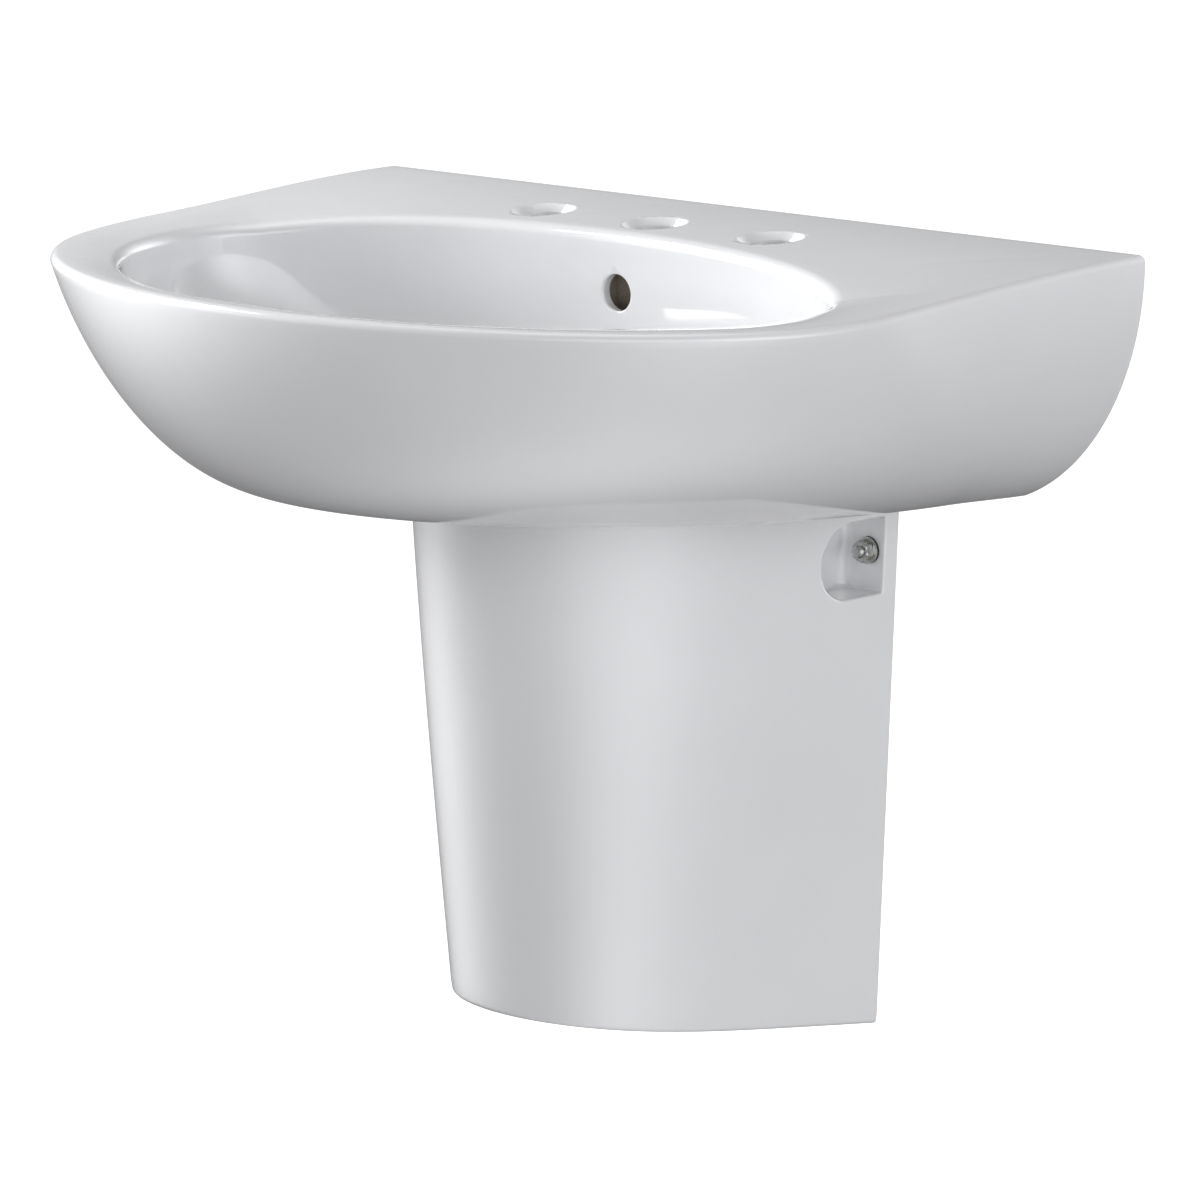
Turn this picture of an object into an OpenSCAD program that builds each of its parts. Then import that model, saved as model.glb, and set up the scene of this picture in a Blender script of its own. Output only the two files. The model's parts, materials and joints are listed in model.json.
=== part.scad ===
// Wall-hung vitreous china basin with a half pedestal that hides its trap.
// Millimetres. X runs along the wall, Y into it, Z up. The wall's face is the plane y = 0.
// The origin is midway between the two studs that carry the basin.

/* [Basin] */
// Width over the widest point of the sides
basin_w = 672; // [600:1:760]
// Wall to the front of the rim
basin_d = 466; // [430:1:520]
// Back deck to the underside at the wall
basin_h = 163; // [150:1:180]
// Height of the back deck above the carrying studs
deck_above_studs = 75; // [65:1:85]
// How far the front rim lies below the back deck
rim_drop = 16; // [0:1:24]
// Straight run of each side before the front curve starts
side_run = 226; // [180:1:260]
// How much each side closes in along that run
side_taper = 5; // [0:1:15]
// Radius of the outer top edge
edge_r = 5; // [4:1:12]
// Thickness of the china
skin = 11; // [9:1:13]

/* [Bowl] */
// Width of the bowl's mouth half way along it
bowl_w = 547; // [480:1:570]
// How much wider the back of the mouth is than its middle, and its front narrower, as a share
bowl_taper = 0.25; // [0:0.01:0.3]
// How far the ends of the mouth lie in front of its middle
bowl_sweep = 8; // [0:1:20]
// Wall to the back of the bowl's mouth
bowl_back = 112; // [108:1:130]
// Width of the rim in front of the mouth
front_rim = 18; // [14:1:30]
// Back deck to the floor of the bowl
bowl_depth = 128; // [115:1:132]
// Radius where the deck rolls over into the bowl
roll_r = 8; // [6:1:16]
// Depth of the shallow dish between the sides and the mouth
dish = 5; // [0:1:12]
// Wall to the centre of the drain
drain_y = 200; // [190:1:205]
// Diameter of the overflow hole
overflow_d = 24; // [16:1:24]
// Back deck to the centre of the overflow hole
overflow_depth = 45; // [40:1:55]

/* [Faucet holes] */
// Diameter of each faucet hole
faucet_d = 35; // [32:0.5:38]
// Depth of the bevel round the mouth of each hole
faucet_bevel = 5; // [2:0.5:6]
// Distance between neighbouring holes
faucet_pitch = 101.6; // [96:0.1:104]
// Wall to the line of the holes
faucet_setback = 84; // [80:1:86]

/* [Half pedestal] */
// Width at the wall, at the top
shroud_w_top = 281; // [260:1:300]
// Width at the wall, at the bottom
shroud_w_low = 251; // [230:1:260]
// Wall to the front, at the top
shroud_d_top = 262; // [255:1:280]
// Wall to the front, at the bottom
shroud_d_low = 235; // [230:1:250]
// Back deck to the bottom edge at the wall
shroud_bottom = 535; // [500:1:560]
// How far the bottom edge climbs towards the front
shroud_rise = 32; // [0:1:40]
// Gap under the basin, filled by the pads
pad_h = 2.5; // [2:0.5:4]

/* [Fixings] */
// Distance between the studs that carry the basin
basin_stud_pitch = 280; // [240:1:290]
// Thread of those studs
basin_stud_d = 10; // [8:1:12]
// Distance between the studs of the half pedestal
shroud_stud_pitch = 249; // [240:1:250]
// Back deck to the half pedestal's studs
shroud_stud_depth = 212; // [208:1:216]
// Thread of those studs
shroud_stud_d = 8; // [6:1:10]

/* [Waste] */
// Outside diameter of the tailpiece and the trap
pipe_d = 31.75; // [31:0.25:33]
// Wall of that pipe
pipe_t = 1.2; // [0.8:0.1:2]
// Centre-line radius of the trap's bend
bend_r = 38; // [34:1:42]
// Back deck to the joint at the trap's inlet
trap_inlet_depth = 330; // [320:1:345]
// Back deck to the trap arm
trap_arm_depth = 284; // [276:1:290]
// How far the stopper rises when it is open
stopper_travel = 8; // [6:1:9]
// Diameter of the drain flange in the bowl
flange_d = 63; // [60:1:66]

/* [Hidden] */
$fn = 64;
cut = 1; // how far a cut runs past the face it starts from
china = "#f1f2f3";
zinc = "#b9bcbd";
chrome = "#d4d7da";
brass = "#c9a45a";
rubber = "#2f3032";
plastic = "#e9e9e4";

// Points along each stretch of a ring round the basin, and rings down each stretch of its section
back_steps = 10;
side_steps = 6;
front_steps = 34;
bowl_steps = 10;
wall_steps = 8;
corner_steps = 3;

// Section of the outer side: an ellipse seen from the front, and another seen from the side
side_in = 133.6;
side_down = 165.5;
front_in = 86;
front_down = 160;
under_rise = 0.036; // slope of the underside, up towards the front
drop_run = 311; // distance from the wall over which the rim drops
wall_h = basin_h - edge_r; // height of the side below the edge radius
foot_r = 8; // radius between the side and the underside

// Bowl section: powers of the cosine and sine that round it, and of the move back to the drain
wall_power = 0.62;
floor_power = 0.9;
shift_power = 2.5;
bowl_rx = bowl_w / 2;
bowl_ry = (basin_d - front_rim - bowl_back) / 2;
bowl_cy = bowl_back + bowl_ry;
dish_start = 100;
dish_run = 120;
dish_full = 80; // a rim at least this wide gets the whole dish

function ease(t) = t * t * (3 - 2 * t);
function clamp(t) = min(1, max(0, t));
function mix(a, b, t) = a + (b - a) * t;
function arc_in(a, b, d) = a * (1 - sqrt(max(0, 1 - pow(d / b, 2))));

// Height of the rim at a point, with the back deck at 0
function rim_z(y) = -rim_drop * ease(clamp(-y / drop_run));

// One ring round the basin: back, left side, front curve, right side, anticlockwise from above
function ring(half_w, run, depth, taper, back) = [
    for (i = [0 : back_steps - 1]) [half_w * (1 - 2 * i / back_steps), -back],
    for (i = [0 : side_steps - 1])
        [-half_w + taper * ease(i / side_steps), -mix(back, run, i / side_steps)],
    for (i = [0 : front_steps - 1]) let (a = 180 + 180 * i / front_steps)
        [(half_w - taper) * cos(a), -run + (depth - run) * sin(a)],
    for (i = [0 : side_steps - 1]) let (t = 1 - i / side_steps)
        [half_w - taper * ease(t), -mix(back, run, t)]
];
function lift(pts, zs) = [for (i = [0 : len(pts) - 1]) [pts[i].x, pts[i].y, zs[i]]];

// The deck's outline inside its rounded edge, and the direction of each of its points from the bowl
deck_line = ring(basin_w / 2 - edge_r, side_run, basin_d - edge_r, side_taper, 0);
bearing = [for (p = deck_line) atan2((p.y + bowl_cy) / bowl_ry, p.x / bowl_rx)];
// An egg, wider towards the wall
function oval(rx, ry, cy) = [for (a = bearing)
    [rx * cos(a) * (1 + bowl_taper * sin(a)), -cy + ry * sin(a) - bowl_sweep * (rx / bowl_rx) * pow(cos(a), 2)]];
mouth = oval(bowl_rx, bowl_ry, bowl_cy);
mouth_dish = [for (i = [0 : len(mouth) - 1])
    dish * ease(clamp((-mouth[i].y - dish_start) / dish_run))
        * clamp(norm(deck_line[i] - mouth[i]) / dish_full)];

// A ring of the deck, from its outline (g = 0) to the mouth of the bowl (g = 1), lowered by down
function deck_ring(g, down) = [for (i = [0 : len(mouth) - 1]) let (p = mix(deck_line[i], mouth[i], g))
    [p.x, p.y, rim_z(p.y) - mouth_dish[i] * g * g - down]];

// A ring of the bowl: t runs from 0 under the rolled edge to 90 at the drain, out is the china's
// thickness when the ring is on the outside of the bowl
function bowl_ring(t, out) = let (
        wide = pow(cos(t), wall_power),
        deep = pow(sin(t), floor_power),
        cy = mix(bowl_cy, drain_y, pow(deep, shift_power)),
        pts = oval((bowl_rx - roll_r) * wide + out, (bowl_ry - roll_r) * wide + out, cy)
    ) [for (i = [0 : len(pts) - 1])
        [pts[i].x, pts[i].y,
            mix(rim_z(mouth[i].y) - mouth_dish[i] - roll_r, -bowl_depth, deep) - out * deep]];

// The rolled edge: a quarter circle between the deck and the bowl
function roll_ring(a) = let (pts = oval(bowl_rx - roll_r * sin(a), bowl_ry - roll_r * sin(a), bowl_cy))
    [for (i = [0 : len(pts) - 1])
        [pts[i].x, pts[i].y, rim_z(mouth[i].y) - mouth_dish[i] - roll_r * (1 - cos(a))]];

// A ring of the outer side, d below the edge radius and inset by t
function side_ring(d, t, back) = let (
        pts = ring(basin_w / 2 - arc_in(side_in, side_down, d) - t, side_run - d,
            basin_d - arc_in(front_in, front_down, d) - t, side_taper, back),
        low = d / wall_h
    ) lift(pts, [for (p = pts) -edge_r - d + rim_z(p.y) * (1 - low) - under_rise * p.y * low]);

// The rounded top edge, a = 90 on the deck and 0 on the side
function edge_ring(a) = let (
        inset = edge_r * (1 - cos(a)),
        pts = ring(basin_w / 2 - inset, side_run, basin_d - inset, side_taper, 0)
    ) lift(pts, [for (p = pts) rim_z(p.y) - edge_r * (1 - sin(a))]);

// The underside, inset from the foot of the side and down from it
function foot_ring(inset, down, back) = let (
        pts = ring(basin_w / 2 - arc_in(side_in, side_down, wall_h) - inset, side_run - wall_h,
            basin_d - arc_in(front_in, front_down, wall_h) - inset, side_taper, back)
    ) lift(pts, [for (p = pts) -basin_h - down - under_rise * p.y]);

basin_rings = concat(
    [for (i = [bowl_steps - 1 : -1 : 0]) bowl_ring(90 * i / bowl_steps, 0)],
    [for (i = [corner_steps - 1 : -1 : 1]) roll_ring(90 * i / corner_steps)],
    [for (g = [1, 0.75, 0.5, 0.2]) deck_ring(g, 0)],
    [for (i = [corner_steps : -1 : 1]) edge_ring(90 * i / corner_steps)],
    [for (i = [0 : wall_steps - 1]) side_ring((wall_h - foot_r) * sin(90 * i / (wall_steps - 1)), 0, 0)],
    [foot_ring(foot_r / 2, 0, 0)]);

back_wall = 14; // china where the basin bears on the wall
cavity_top = 1.5; // the deck is this much thicker than the skin
cavity_rings = concat(
    [for (i = [bowl_steps - 1 : -1 : 2]) bowl_ring(90 * i / bowl_steps, skin)],
    [for (g = [1, 0.8, 0.5, 0.2]) deck_ring(g, skin + cavity_top)],
    [for (i = [0 : wall_steps - 1])
        side_ring(mix(skin, wall_h - skin, sin(90 * i / (wall_steps - 1))), skin, back_wall)]);

// A closed solid through rings listed from the middle of its top, outwards and down, to its underside
module rings_solid(rings, top, bottom) {
    n = len(rings[0]);
    last = len(rings) - 1;
    middle = n * (last + 1);
    points = concat([for (r = rings) each r], [top, bottom]);
    faces = concat(
        [for (i = [0 : n - 1]) [middle, (i + 1) % n, i]],
        [for (j = [0 : last - 1]) for (i = [0 : n - 1]) let (k = (i + 1) % n)
            each [[j * n + i, j * n + k, (j + 1) * n + k], [j * n + i, (j + 1) * n + k, (j + 1) * n + i]]],
        [for (i = [0 : n - 1]) [middle + 1, last * n + i, last * n + (i + 1) % n]]);
    polyhedron(points, faces, convexity = 10);
}

module basin_outside() {
    rings_solid(basin_rings, [0, -drain_y, -bowl_depth], [0, -drain_y, -basin_h + under_rise * drain_y]);
}

// The hollow between the bowl and the outer side. Its back is cut straight, behind the bearing wall.
module basin_hollow() {
    floor_z = -basin_h + skin + under_rise * drain_y;
    intersection() {
        rings_solid(cavity_rings, [0, -drain_y, -bowl_depth - skin], [0, -drain_y, floor_z]);
        translate([-basin_w / 2, -basin_d, -basin_h]) cube([basin_w, basin_d - back_wall, basin_h]);
    }
}

boss_r = 40; // china round the drain hole
chamber_r = 31; // overflow chamber in that boss
chamber_top = bowl_depth + 9;
chamber_h = 10;
seat_depth = 153; // back deck to the flat seat under the drain
duct_w = 26; // inside width of the overflow duct
duct_t = 8; // its inside thickness, front to back
duct_skin = 7;
bowl_wall_y = bowl_back + roll_r; // the bowl's back wall
duct_y = bowl_wall_y - duct_skin - duct_t; // back face of the duct's inside
hatch_in = 24; // the opening in the underside lies this far inside the half pedestal's outline
access_w = 400; // opening in the back, under the bearing wall
access_top = 112;
flange_r = flange_d / 2;
drain_hole_r = 22;
recess = 3; // depth of the seat for the drain flange
recess_play = 1;
seat_in = 6; // the flat seat under the drain is this much smaller than its boss
basin_hole_r = 8; // clears the bush on each stud

// The openings through the underside and the back
module basin_openings() {
    translate([0, 0, -basin_h - cut]) linear_extrude(2 * skin + 2 * cut)
        polygon(shroud_plan(0, hatch_in, -back_wall));
    translate([-access_w / 2, -back_wall - cut, -basin_h + skin])
        cube([access_w, back_wall + 2 * cut, basin_h - skin - access_top]);
}

// China left standing in the hollow: the drain boss and the overflow duct
module basin_ribs() {
    translate([0, -drain_y, -basin_h]) cylinder(r = boss_r, h = basin_h - bowl_depth + 2 * cut);
    duct_x = duct_w / 2 + duct_skin;
    translate([-duct_x, -bowl_wall_y - roll_r, -basin_h])
        cube([2 * duct_x, duct_t + 2 * duct_skin + roll_r, basin_h - overflow_depth + overflow_d]);
    translate([-duct_x, -drain_y, -basin_h])
        cube([2 * duct_x, drain_y - duct_y, basin_h - bowl_depth + 2 * cut]);
}

module overflow_way() {
    top = overflow_depth - overflow_d / 2 - 2 * cut;
    low = chamber_top + chamber_h;
    translate([-duct_w / 2, -duct_y - duct_t, -low]) cube([duct_w, duct_t, low - top]);
    translate([-duct_w / 2, -drain_y, -low]) cube([duct_w, drain_y - duct_y, chamber_h]);
}

module basin() {
    color(china) translate([0, 0, deck_above_studs]) difference() {
        // The china without its round holes, as one skin
        resize([0, 0, 0]) difference() {
            basin_outside();
            difference() {
                union() {
                    basin_hollow();
                    basin_openings();
                }
                basin_ribs();
            }
        }
        overflow_way();
        for (x = [-faucet_pitch, 0, faucet_pitch]) translate([x, -faucet_setback, rim_z(-faucet_setback)]) {
            translate([0, 0, -2 * skin]) cylinder(d = faucet_d, h = 3 * skin);
            translate([0, 0, -faucet_bevel])
                cylinder(d1 = faucet_d, d2 = faucet_d + 4 * faucet_bevel, h = 2 * faucet_bevel);
        }
        translate([0, -drain_y, -basin_h - cut]) cylinder(r = drain_hole_r, h = basin_h);
        translate([0, -drain_y, -chamber_top - chamber_h]) cylinder(r = chamber_r, h = chamber_h);
        translate([0, -drain_y, -bowl_depth - recess]) cylinder(r = flange_r + recess_play, h = bowl_depth);
        translate([0, -drain_y, -basin_h - cut])
            cylinder(r = boss_r - seat_in, h = basin_h + cut - seat_depth);
        translate([0, -duct_y - duct_t / 2, -overflow_depth]) rotate([90, 0, 0])
            cylinder(d = overflow_d, h = 4 * skin);
        for (x = [-1, 1]) translate([x * basin_stud_pitch / 2, cut, -deck_above_studs])
            rotate([90, 0, 0]) cylinder(r = basin_hole_r, h = back_wall + 2 * cut);
    }
}

// Half pedestal: a shell of a U-shaped plan that tapers downwards
plan_steps = 16;
level_steps = 6;
shroud_skin = 12;
shroud_top = basin_h + pad_h; // below the back deck, at the wall
splay_low = 0.15; // how fast the sides close in towards the front, at the bottom
front_power_top = 2.9;
front_power_low = 5.3;
pocket_in = 35; // depth of each fixing pocket
pocket_run = 58; // its length forward of the bearing wall
pocket_top = 188; // its top and floor, below the back deck
pocket_floor = 239;
pocket_scoop_r = 70;
bearing_t = 12; // china between the pocket and the wall
flange_in = 95; // inner edge of the flanges against the wall
plan_spread = 0.9; // below 1, moves the plan's points towards its front corners
shroud_hole_play = 2;
core_past = 5; // how far the hollow runs past the wall's face
core_over = 0.02; // and past each end, as a share of the height
side_draw_in = 1.5; // the outer face has drawn in this much by the height of the pocket
side_x = shroud_w_top / 2 - side_draw_in;

// Pads
pad_l = 24;
pad_w = 9;
side_pad_x = 118;

// Fasteners
nut_across = 1.65; // across flats, as a share of the thread
nut_high = 0.8; // thickness, as a share of the thread
thread_down = 0.5; // the machine thread is this much thinner than the wood thread
stud_in_wall = 65;
stud_proud = 28;
shroud_stud_in_wall = 14; // these sit in shallow anchors
shroud_stud_proud = 12.4;
washer_t = 1.6;
soft_washer_t = 1.4;
shroud_washer_d = 18;
bush_l = 10;
bush_flange_d = 28;
bush_flange_t = 3;

// Drain
seal_t = 1.2; // seal under the flange
flange_top = 3.4; // top of the flange above the bottom of its seat
flange_hole_r = 17;
flange_edge_t = 0.8;
flange_bevel = 4;
flange_lead = 2.5;
flange_seal_in = 1.5;
sleeve_r = 19;
sleeve_l = 16; // threaded sleeve under the flange
body_r = 20.5;
bore_r = 17;
body_l = 66;
neck_step = 2;
neck_l = 6;
thread_relief = 4;
slot_d = 8; // overflow ports in the body
hub_depth = 176; // crossbar that carries the stopper
hub_r = 8;
hub_h = 5;
spoke_w = 4;
spoke_in = 2; // how far each spoke enters the hub
spoke_over = 1; // and the body
port_in = 4;
gasket_r = 29;
gasket_h = 13;
gasket_edge = 4;
gasket_top_r = 30;
locknut_h = 12;
locknut_flats = 54;
tail_top = -188; // top of the tailpiece, inside the body
cap_r = 23;
cap_gap = 0.4; // the closed cap clears the flange by this
cap_edge = 1.5;
cap_lip = 1.2;
cap_bevel = 3;
cap_shoulder = 4.4;
cap_h = 5;
seal_ring_h = 3;
seal_play = 0.5;
plunger_head_r = 12.5;
plunger_r = 3.5;
plunger_play = 0.3;
plunger_depth = 172;
cartridge_guide = 22; // length that guides the plunger when the stopper is up
cartridge_l = cartridge_guide + stopper_travel;
cartridge_foot = 6;
cartridge_foot_r = 5.5;
cartridge_floor = 2; // thickness of its closed end
cartridge_wall_in = 1; // its barrel is this much narrower than the hub
spring_r = 2.8; // centre line of the coil
spring_wire = 0.9;
spring_turns = 3.5;
spring_gap = 0.1; // free space at each end

// Trap
collar_d = 37;
collar_l = 18;
leg_l = 6;
socket_l = 16; // how far a pipe enters its collar
nut_d = 46;
nut_skirt = 15;
nut_top = 4;
nut_shoulder = 3;
nut_crown = 5;
slip_washer_h = 4;
elbow_r = 30;
arm_in_wall = 60;
plate_r = 34;
plate_play = 1.1; // the wall plate slides on the arm
plate_lip = 3;
plate_edge_t = 1.5;
plate_rim = 8;
plate_shoulder = 6;
plate_h = 9;

// Outline of the plan, anticlockwise from the left at the wall; f is 0 at the top and 1 at the bottom,
// and behind is how far its ends run past the wall's face
function shroud_plan(f, inset, behind) = let (
        w = mix(shroud_w_top, shroud_w_low, f) / 2 - inset,
        d = mix(shroud_d_top, shroud_d_low, f) - inset,
        splay = splay_low * f,
        power = mix(front_power_top, front_power_low, f)
    ) [for (i = [-plan_steps : plan_steps]) let (
            y = d * pow(sin(90 * (1 - abs(i) / plan_steps)), plan_spread),
            x = sign(i) * (w - splay * y) * sqrt(max(0, 1 - pow(y / d, power)))
        ) [x, abs(i) == plan_steps ? behind : -y]];
function shroud_z(f, y) =
    mix(-shroud_top - under_rise * y, -shroud_bottom - shroud_rise * y / shroud_d_low, f);
function shroud_ring(f, inset, behind) = let (pts = shroud_plan(f, inset, behind))
    lift(pts, [for (p = pts) shroud_z(f, p.y)]);

// The solid inside the half pedestal's outline; over is the share of its height that it runs past both ends
module shroud_solid(inset, behind, over) {
    fs = [for (i = [0 : level_steps]) mix(-over, 1 + over, i / level_steps)];
    mid = shroud_d_low / 2;
    rings_solid([for (f = fs) shroud_ring(f, inset, behind)],
        [0, -mid, shroud_z(-over, -mid)], [0, -mid, shroud_z(1 + over, -mid)]);
}

// China left standing inside: a flange along each wall edge, and a block round each pocket
module shroud_keep() {
    block_h = pocket_floor - pocket_top + 2 * shroud_skin;
    for (x = [-1, 1]) on_side(x) {
        translate([flange_in, -bearing_t, -shroud_bottom])
            cube([pocket_in + shroud_skin, bearing_t, shroud_bottom]);
        translate([side_x - pocket_in - shroud_skin, -bearing_t - pocket_run - shroud_skin,
            -pocket_floor - shroud_skin])
            cube([pocket_in + shroud_skin, bearing_t + pocket_run + shroud_skin, block_h]);
    }
}

// The scooped pocket on the right, with its curved inner side and its round front
module pocket() {
    height = pocket_floor - pocket_top;
    intersection() {
        translate([side_x - pocket_in + pocket_scoop_r, -bearing_t, -pocket_floor])
            cylinder(r = pocket_scoop_r, h = height);
        translate([side_x - pocket_in - cut, 0, 0]) rotate([90, 0, 90])
                linear_extrude(2 * pocket_in) hull() {
            translate([-bearing_t - cut, -pocket_floor]) square([cut, height]);
            translate([-bearing_t - pocket_run + height / 2, -pocket_top - height / 2]) circle(height / 2);
        }
    }
}

// Children on the right (x = 1), or mirrored to the left (x = -1)
module on_side(x) mirror([x < 0 ? 1 : 0, 0, 0]) children();

module at_deck() translate([0, 0, deck_above_studs]) children();

module shroud() {
    color(china) at_deck() difference() {
        resize([0, 0, 0]) difference() {
            shroud_solid(0, 0, 0);
            difference() {
                shroud_solid(shroud_skin, core_past, core_over);
                shroud_keep();
            }
            for (x = [-1, 1]) on_side(x) pocket();
        }
        for (x = [-1, 1]) translate([x * shroud_stud_pitch / 2, cut, -shroud_stud_depth]) rotate([90, 0, 0])
            cylinder(d = shroud_stud_d + shroud_hole_play, h = bearing_t + 2 * cut);
    }
}

// Pads between the top edge of the half pedestal and the basin
module shroud_pads() {
    side_y = 150;
    color(rubber) at_deck() for (p = [[-1, side_y], [0, 0], [1, side_y]]) {
        front = p.x == 0;
        y = front ? shroud_d_top - shroud_skin / 2 : p.y;
        x = p.x * side_pad_x;
        translate([x, -y, -shroud_top + under_rise * y]) rotate([-atan(under_rise), 0, 0])
            translate([front ? -pad_l / 2 : -pad_w / 2, front ? -pad_w / 2 : -pad_l / 2, 0])
                cube([front ? pad_l : pad_w, front ? pad_w : pad_l, pad_h]);
    }
}

// Fasteners lie along Y, with z = 0 of their own frame on the face they bear on and +z towards the front
module along_wall(x, y, z) translate([x, y, z]) rotate([90, 0, 0]) children();
module pair(pitch, y, depth) for (x = [-1, 1]) along_wall(x * pitch / 2, y, -depth) children();
module tube(d_out, d_in, h) difference() {
    cylinder(d = d_out, h = h);
    translate([0, 0, -cut]) cylinder(d = d_in, h = h + 2 * cut);
}
module hex_nut(flats, d, h) difference() {
    cylinder(d = flats / cos(30), h = h, $fn = 6);
    translate([0, 0, -cut]) cylinder(d = d, h = h + 2 * cut);
}
module stud_nut(d) hex_nut(nut_across * d, d - thread_down, nut_high * d);
// A pointed thread behind the wall's face, and a slightly thinner machine thread in front
module stud(d, behind, front) {
    point_l = min(1.5 * d, behind / 4);
    chamfer = d / 8;
    thread_d = d - thread_down;
    translate([0, 0, -behind]) cylinder(d1 = 2 * chamfer, d2 = d, h = point_l);
    translate([0, 0, point_l - behind]) cylinder(d = d, h = behind - point_l);
    cylinder(d = thread_d, h = front - chamfer);
    translate([0, 0, front - chamfer]) cylinder(d1 = thread_d, d2 = thread_d - 2 * chamfer, h = chamfer);
}

module basin_studs() {
    color(zinc) pair(basin_stud_pitch, 0, 0) stud(basin_stud_d, stud_in_wall, back_wall + stud_proud);
}
module basin_stud_bushes() {
    color(plastic) pair(basin_stud_pitch, -back_wall + bush_l, 0) {
        tube(2 * basin_hole_r, basin_stud_d - thread_down, bush_l);
        translate([0, 0, bush_l]) tube(bush_flange_d, basin_stud_d - thread_down, bush_flange_t);
    }
}
module basin_stud_washers() {
    color(zinc) pair(basin_stud_pitch, -back_wall - bush_flange_t, 0)
        tube(bush_flange_d, basin_stud_d - thread_down, washer_t);
}
module basin_stud_nuts() {
    color(zinc) pair(basin_stud_pitch, -back_wall - bush_flange_t - washer_t, 0)
        stud_nut(basin_stud_d);
}

module shroud_studs() {
    color(zinc) at_deck() pair(shroud_stud_pitch, 0, shroud_stud_depth)
        stud(shroud_stud_d, shroud_stud_in_wall, bearing_t + shroud_stud_proud);
}
module shroud_soft_washers() {
    color(rubber) at_deck() pair(shroud_stud_pitch, -bearing_t, shroud_stud_depth)
        tube(shroud_washer_d, shroud_stud_d - thread_down, soft_washer_t);
}
module shroud_washers() {
    color(zinc) at_deck() pair(shroud_stud_pitch, -bearing_t - soft_washer_t, shroud_stud_depth)
        tube(shroud_washer_d, shroud_stud_d - thread_down, washer_t);
}
module shroud_nuts() {
    color(zinc) at_deck() pair(shroud_stud_pitch, -bearing_t - soft_washer_t - washer_t, shroud_stud_depth)
        stud_nut(shroud_stud_d);
}

// Drain pieces stand on the drain's axis, with z = 0 on the back deck
module on_drain(z) at_deck() translate([0, -drain_y, z]) children();
module turned(outline) rotate_extrude() polygon(outline);

module drain_flange() {
    color(chrome) on_drain(-bowl_depth - recess) turned([
        [flange_hole_r, -sleeve_l], [sleeve_r, -sleeve_l], [sleeve_r, seal_t], [flange_r, seal_t],
        [flange_r, seal_t + flange_edge_t], [flange_r - flange_bevel, flange_top],
        [flange_hole_r + flange_bevel, flange_top], [flange_hole_r, flange_top - flange_lead]]);
}
module flange_seal() {
    color(rubber) on_drain(-bowl_depth - recess) tube(2 * (flange_r - flange_seal_in), 2 * sleeve_r, seal_t);
}
module drain_body() {
    hub_z = -hub_depth;
    tail_z = tail_top + bowl_depth + recess;
    color(brass) on_drain(0) difference() {
        union() {
            translate([0, 0, -bowl_depth - recess]) turned([
                [sleeve_r, 0], [body_r, 0], [body_r, -body_l],
                [pipe_d / 2 + neck_step, -body_l - neck_l], [pipe_d / 2, -body_l - neck_l],
                [pipe_d / 2, tail_z], [pipe_d / 2 - pipe_t, tail_z], [bore_r, -sleeve_l - thread_relief],
                [bore_r, -sleeve_l], [sleeve_r, -sleeve_l]]);
            for (a = [0, 120, 240]) rotate(a) translate([hub_r - spoke_in, -spoke_w / 2, hub_z])
                cube([bore_r - hub_r + spoke_in + spoke_over, spoke_w, hub_h]);
            translate([0, 0, hub_z]) cylinder(r = hub_r, h = hub_h);
        }
        translate([0, 0, hub_z - cut]) cylinder(r = cartridge_foot_r, h = hub_h + 2 * cut);
        for (a = [60, 180, 300]) rotate(a) translate([sleeve_r - port_in, 0, -chamber_top - chamber_h / 2])
            rotate([0, 90, 0]) cylinder(d = slot_d, h = body_r);
    }
}
module drain_gasket() {
    color(rubber) on_drain(-seat_depth - gasket_h) turned([
        [body_r, 0], [gasket_r, 0], [gasket_r, gasket_edge], [gasket_top_r, gasket_h], [body_r, gasket_h]]);
}
module gasket_washer() {
    color(plastic) on_drain(-seat_depth - gasket_h - washer_t) tube(2 * gasket_r, 2 * body_r, washer_t);
}
module drain_locknut() {
    color(brass) on_drain(-seat_depth - gasket_h - washer_t - locknut_h)
        hex_nut(locknut_flats, 2 * body_r, locknut_h);
}

module stopper_cap() {
    color(chrome) on_drain(-bowl_depth - recess + flange_top) turned([
        [0, cap_gap], [cap_r - cap_edge, cap_gap], [cap_r, cap_gap + cap_lip],
        [cap_r - cap_edge, cap_gap + cap_bevel], [cap_r / 2, cap_gap + cap_shoulder], [0, cap_gap + cap_h]]);
}
module stopper_seal() {
    color(rubber) on_drain(-bowl_depth - recess + flange_top + cap_gap - seal_ring_h)
        tube(2 * (flange_hole_r - seal_play), 2 * plunger_head_r, seal_ring_h);
}
module stopper_plunger() {
    color(chrome) on_drain(0) {
        top = -bowl_depth - recess + flange_top + cap_gap;
        translate([0, 0, -plunger_depth]) cylinder(r = plunger_r, h = top + plunger_depth);
        translate([0, 0, top - seal_ring_h]) cylinder(r = plunger_head_r, h = seal_ring_h);
    }
}
module stopper_cartridge() {
    color(brass) on_drain(-hub_depth) difference() {
        union() {
            translate([0, 0, -cartridge_foot])
                cylinder(r = cartridge_foot_r, h = cartridge_foot + hub_h + cut);
            translate([0, 0, hub_h]) cylinder(r = hub_r - cartridge_wall_in, h = cartridge_l);
        }
        translate([0, 0, cartridge_floor - cartridge_foot])
            cylinder(r = plunger_r + plunger_play, h = cartridge_foot + hub_h + cartridge_l);
    }
}

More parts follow.
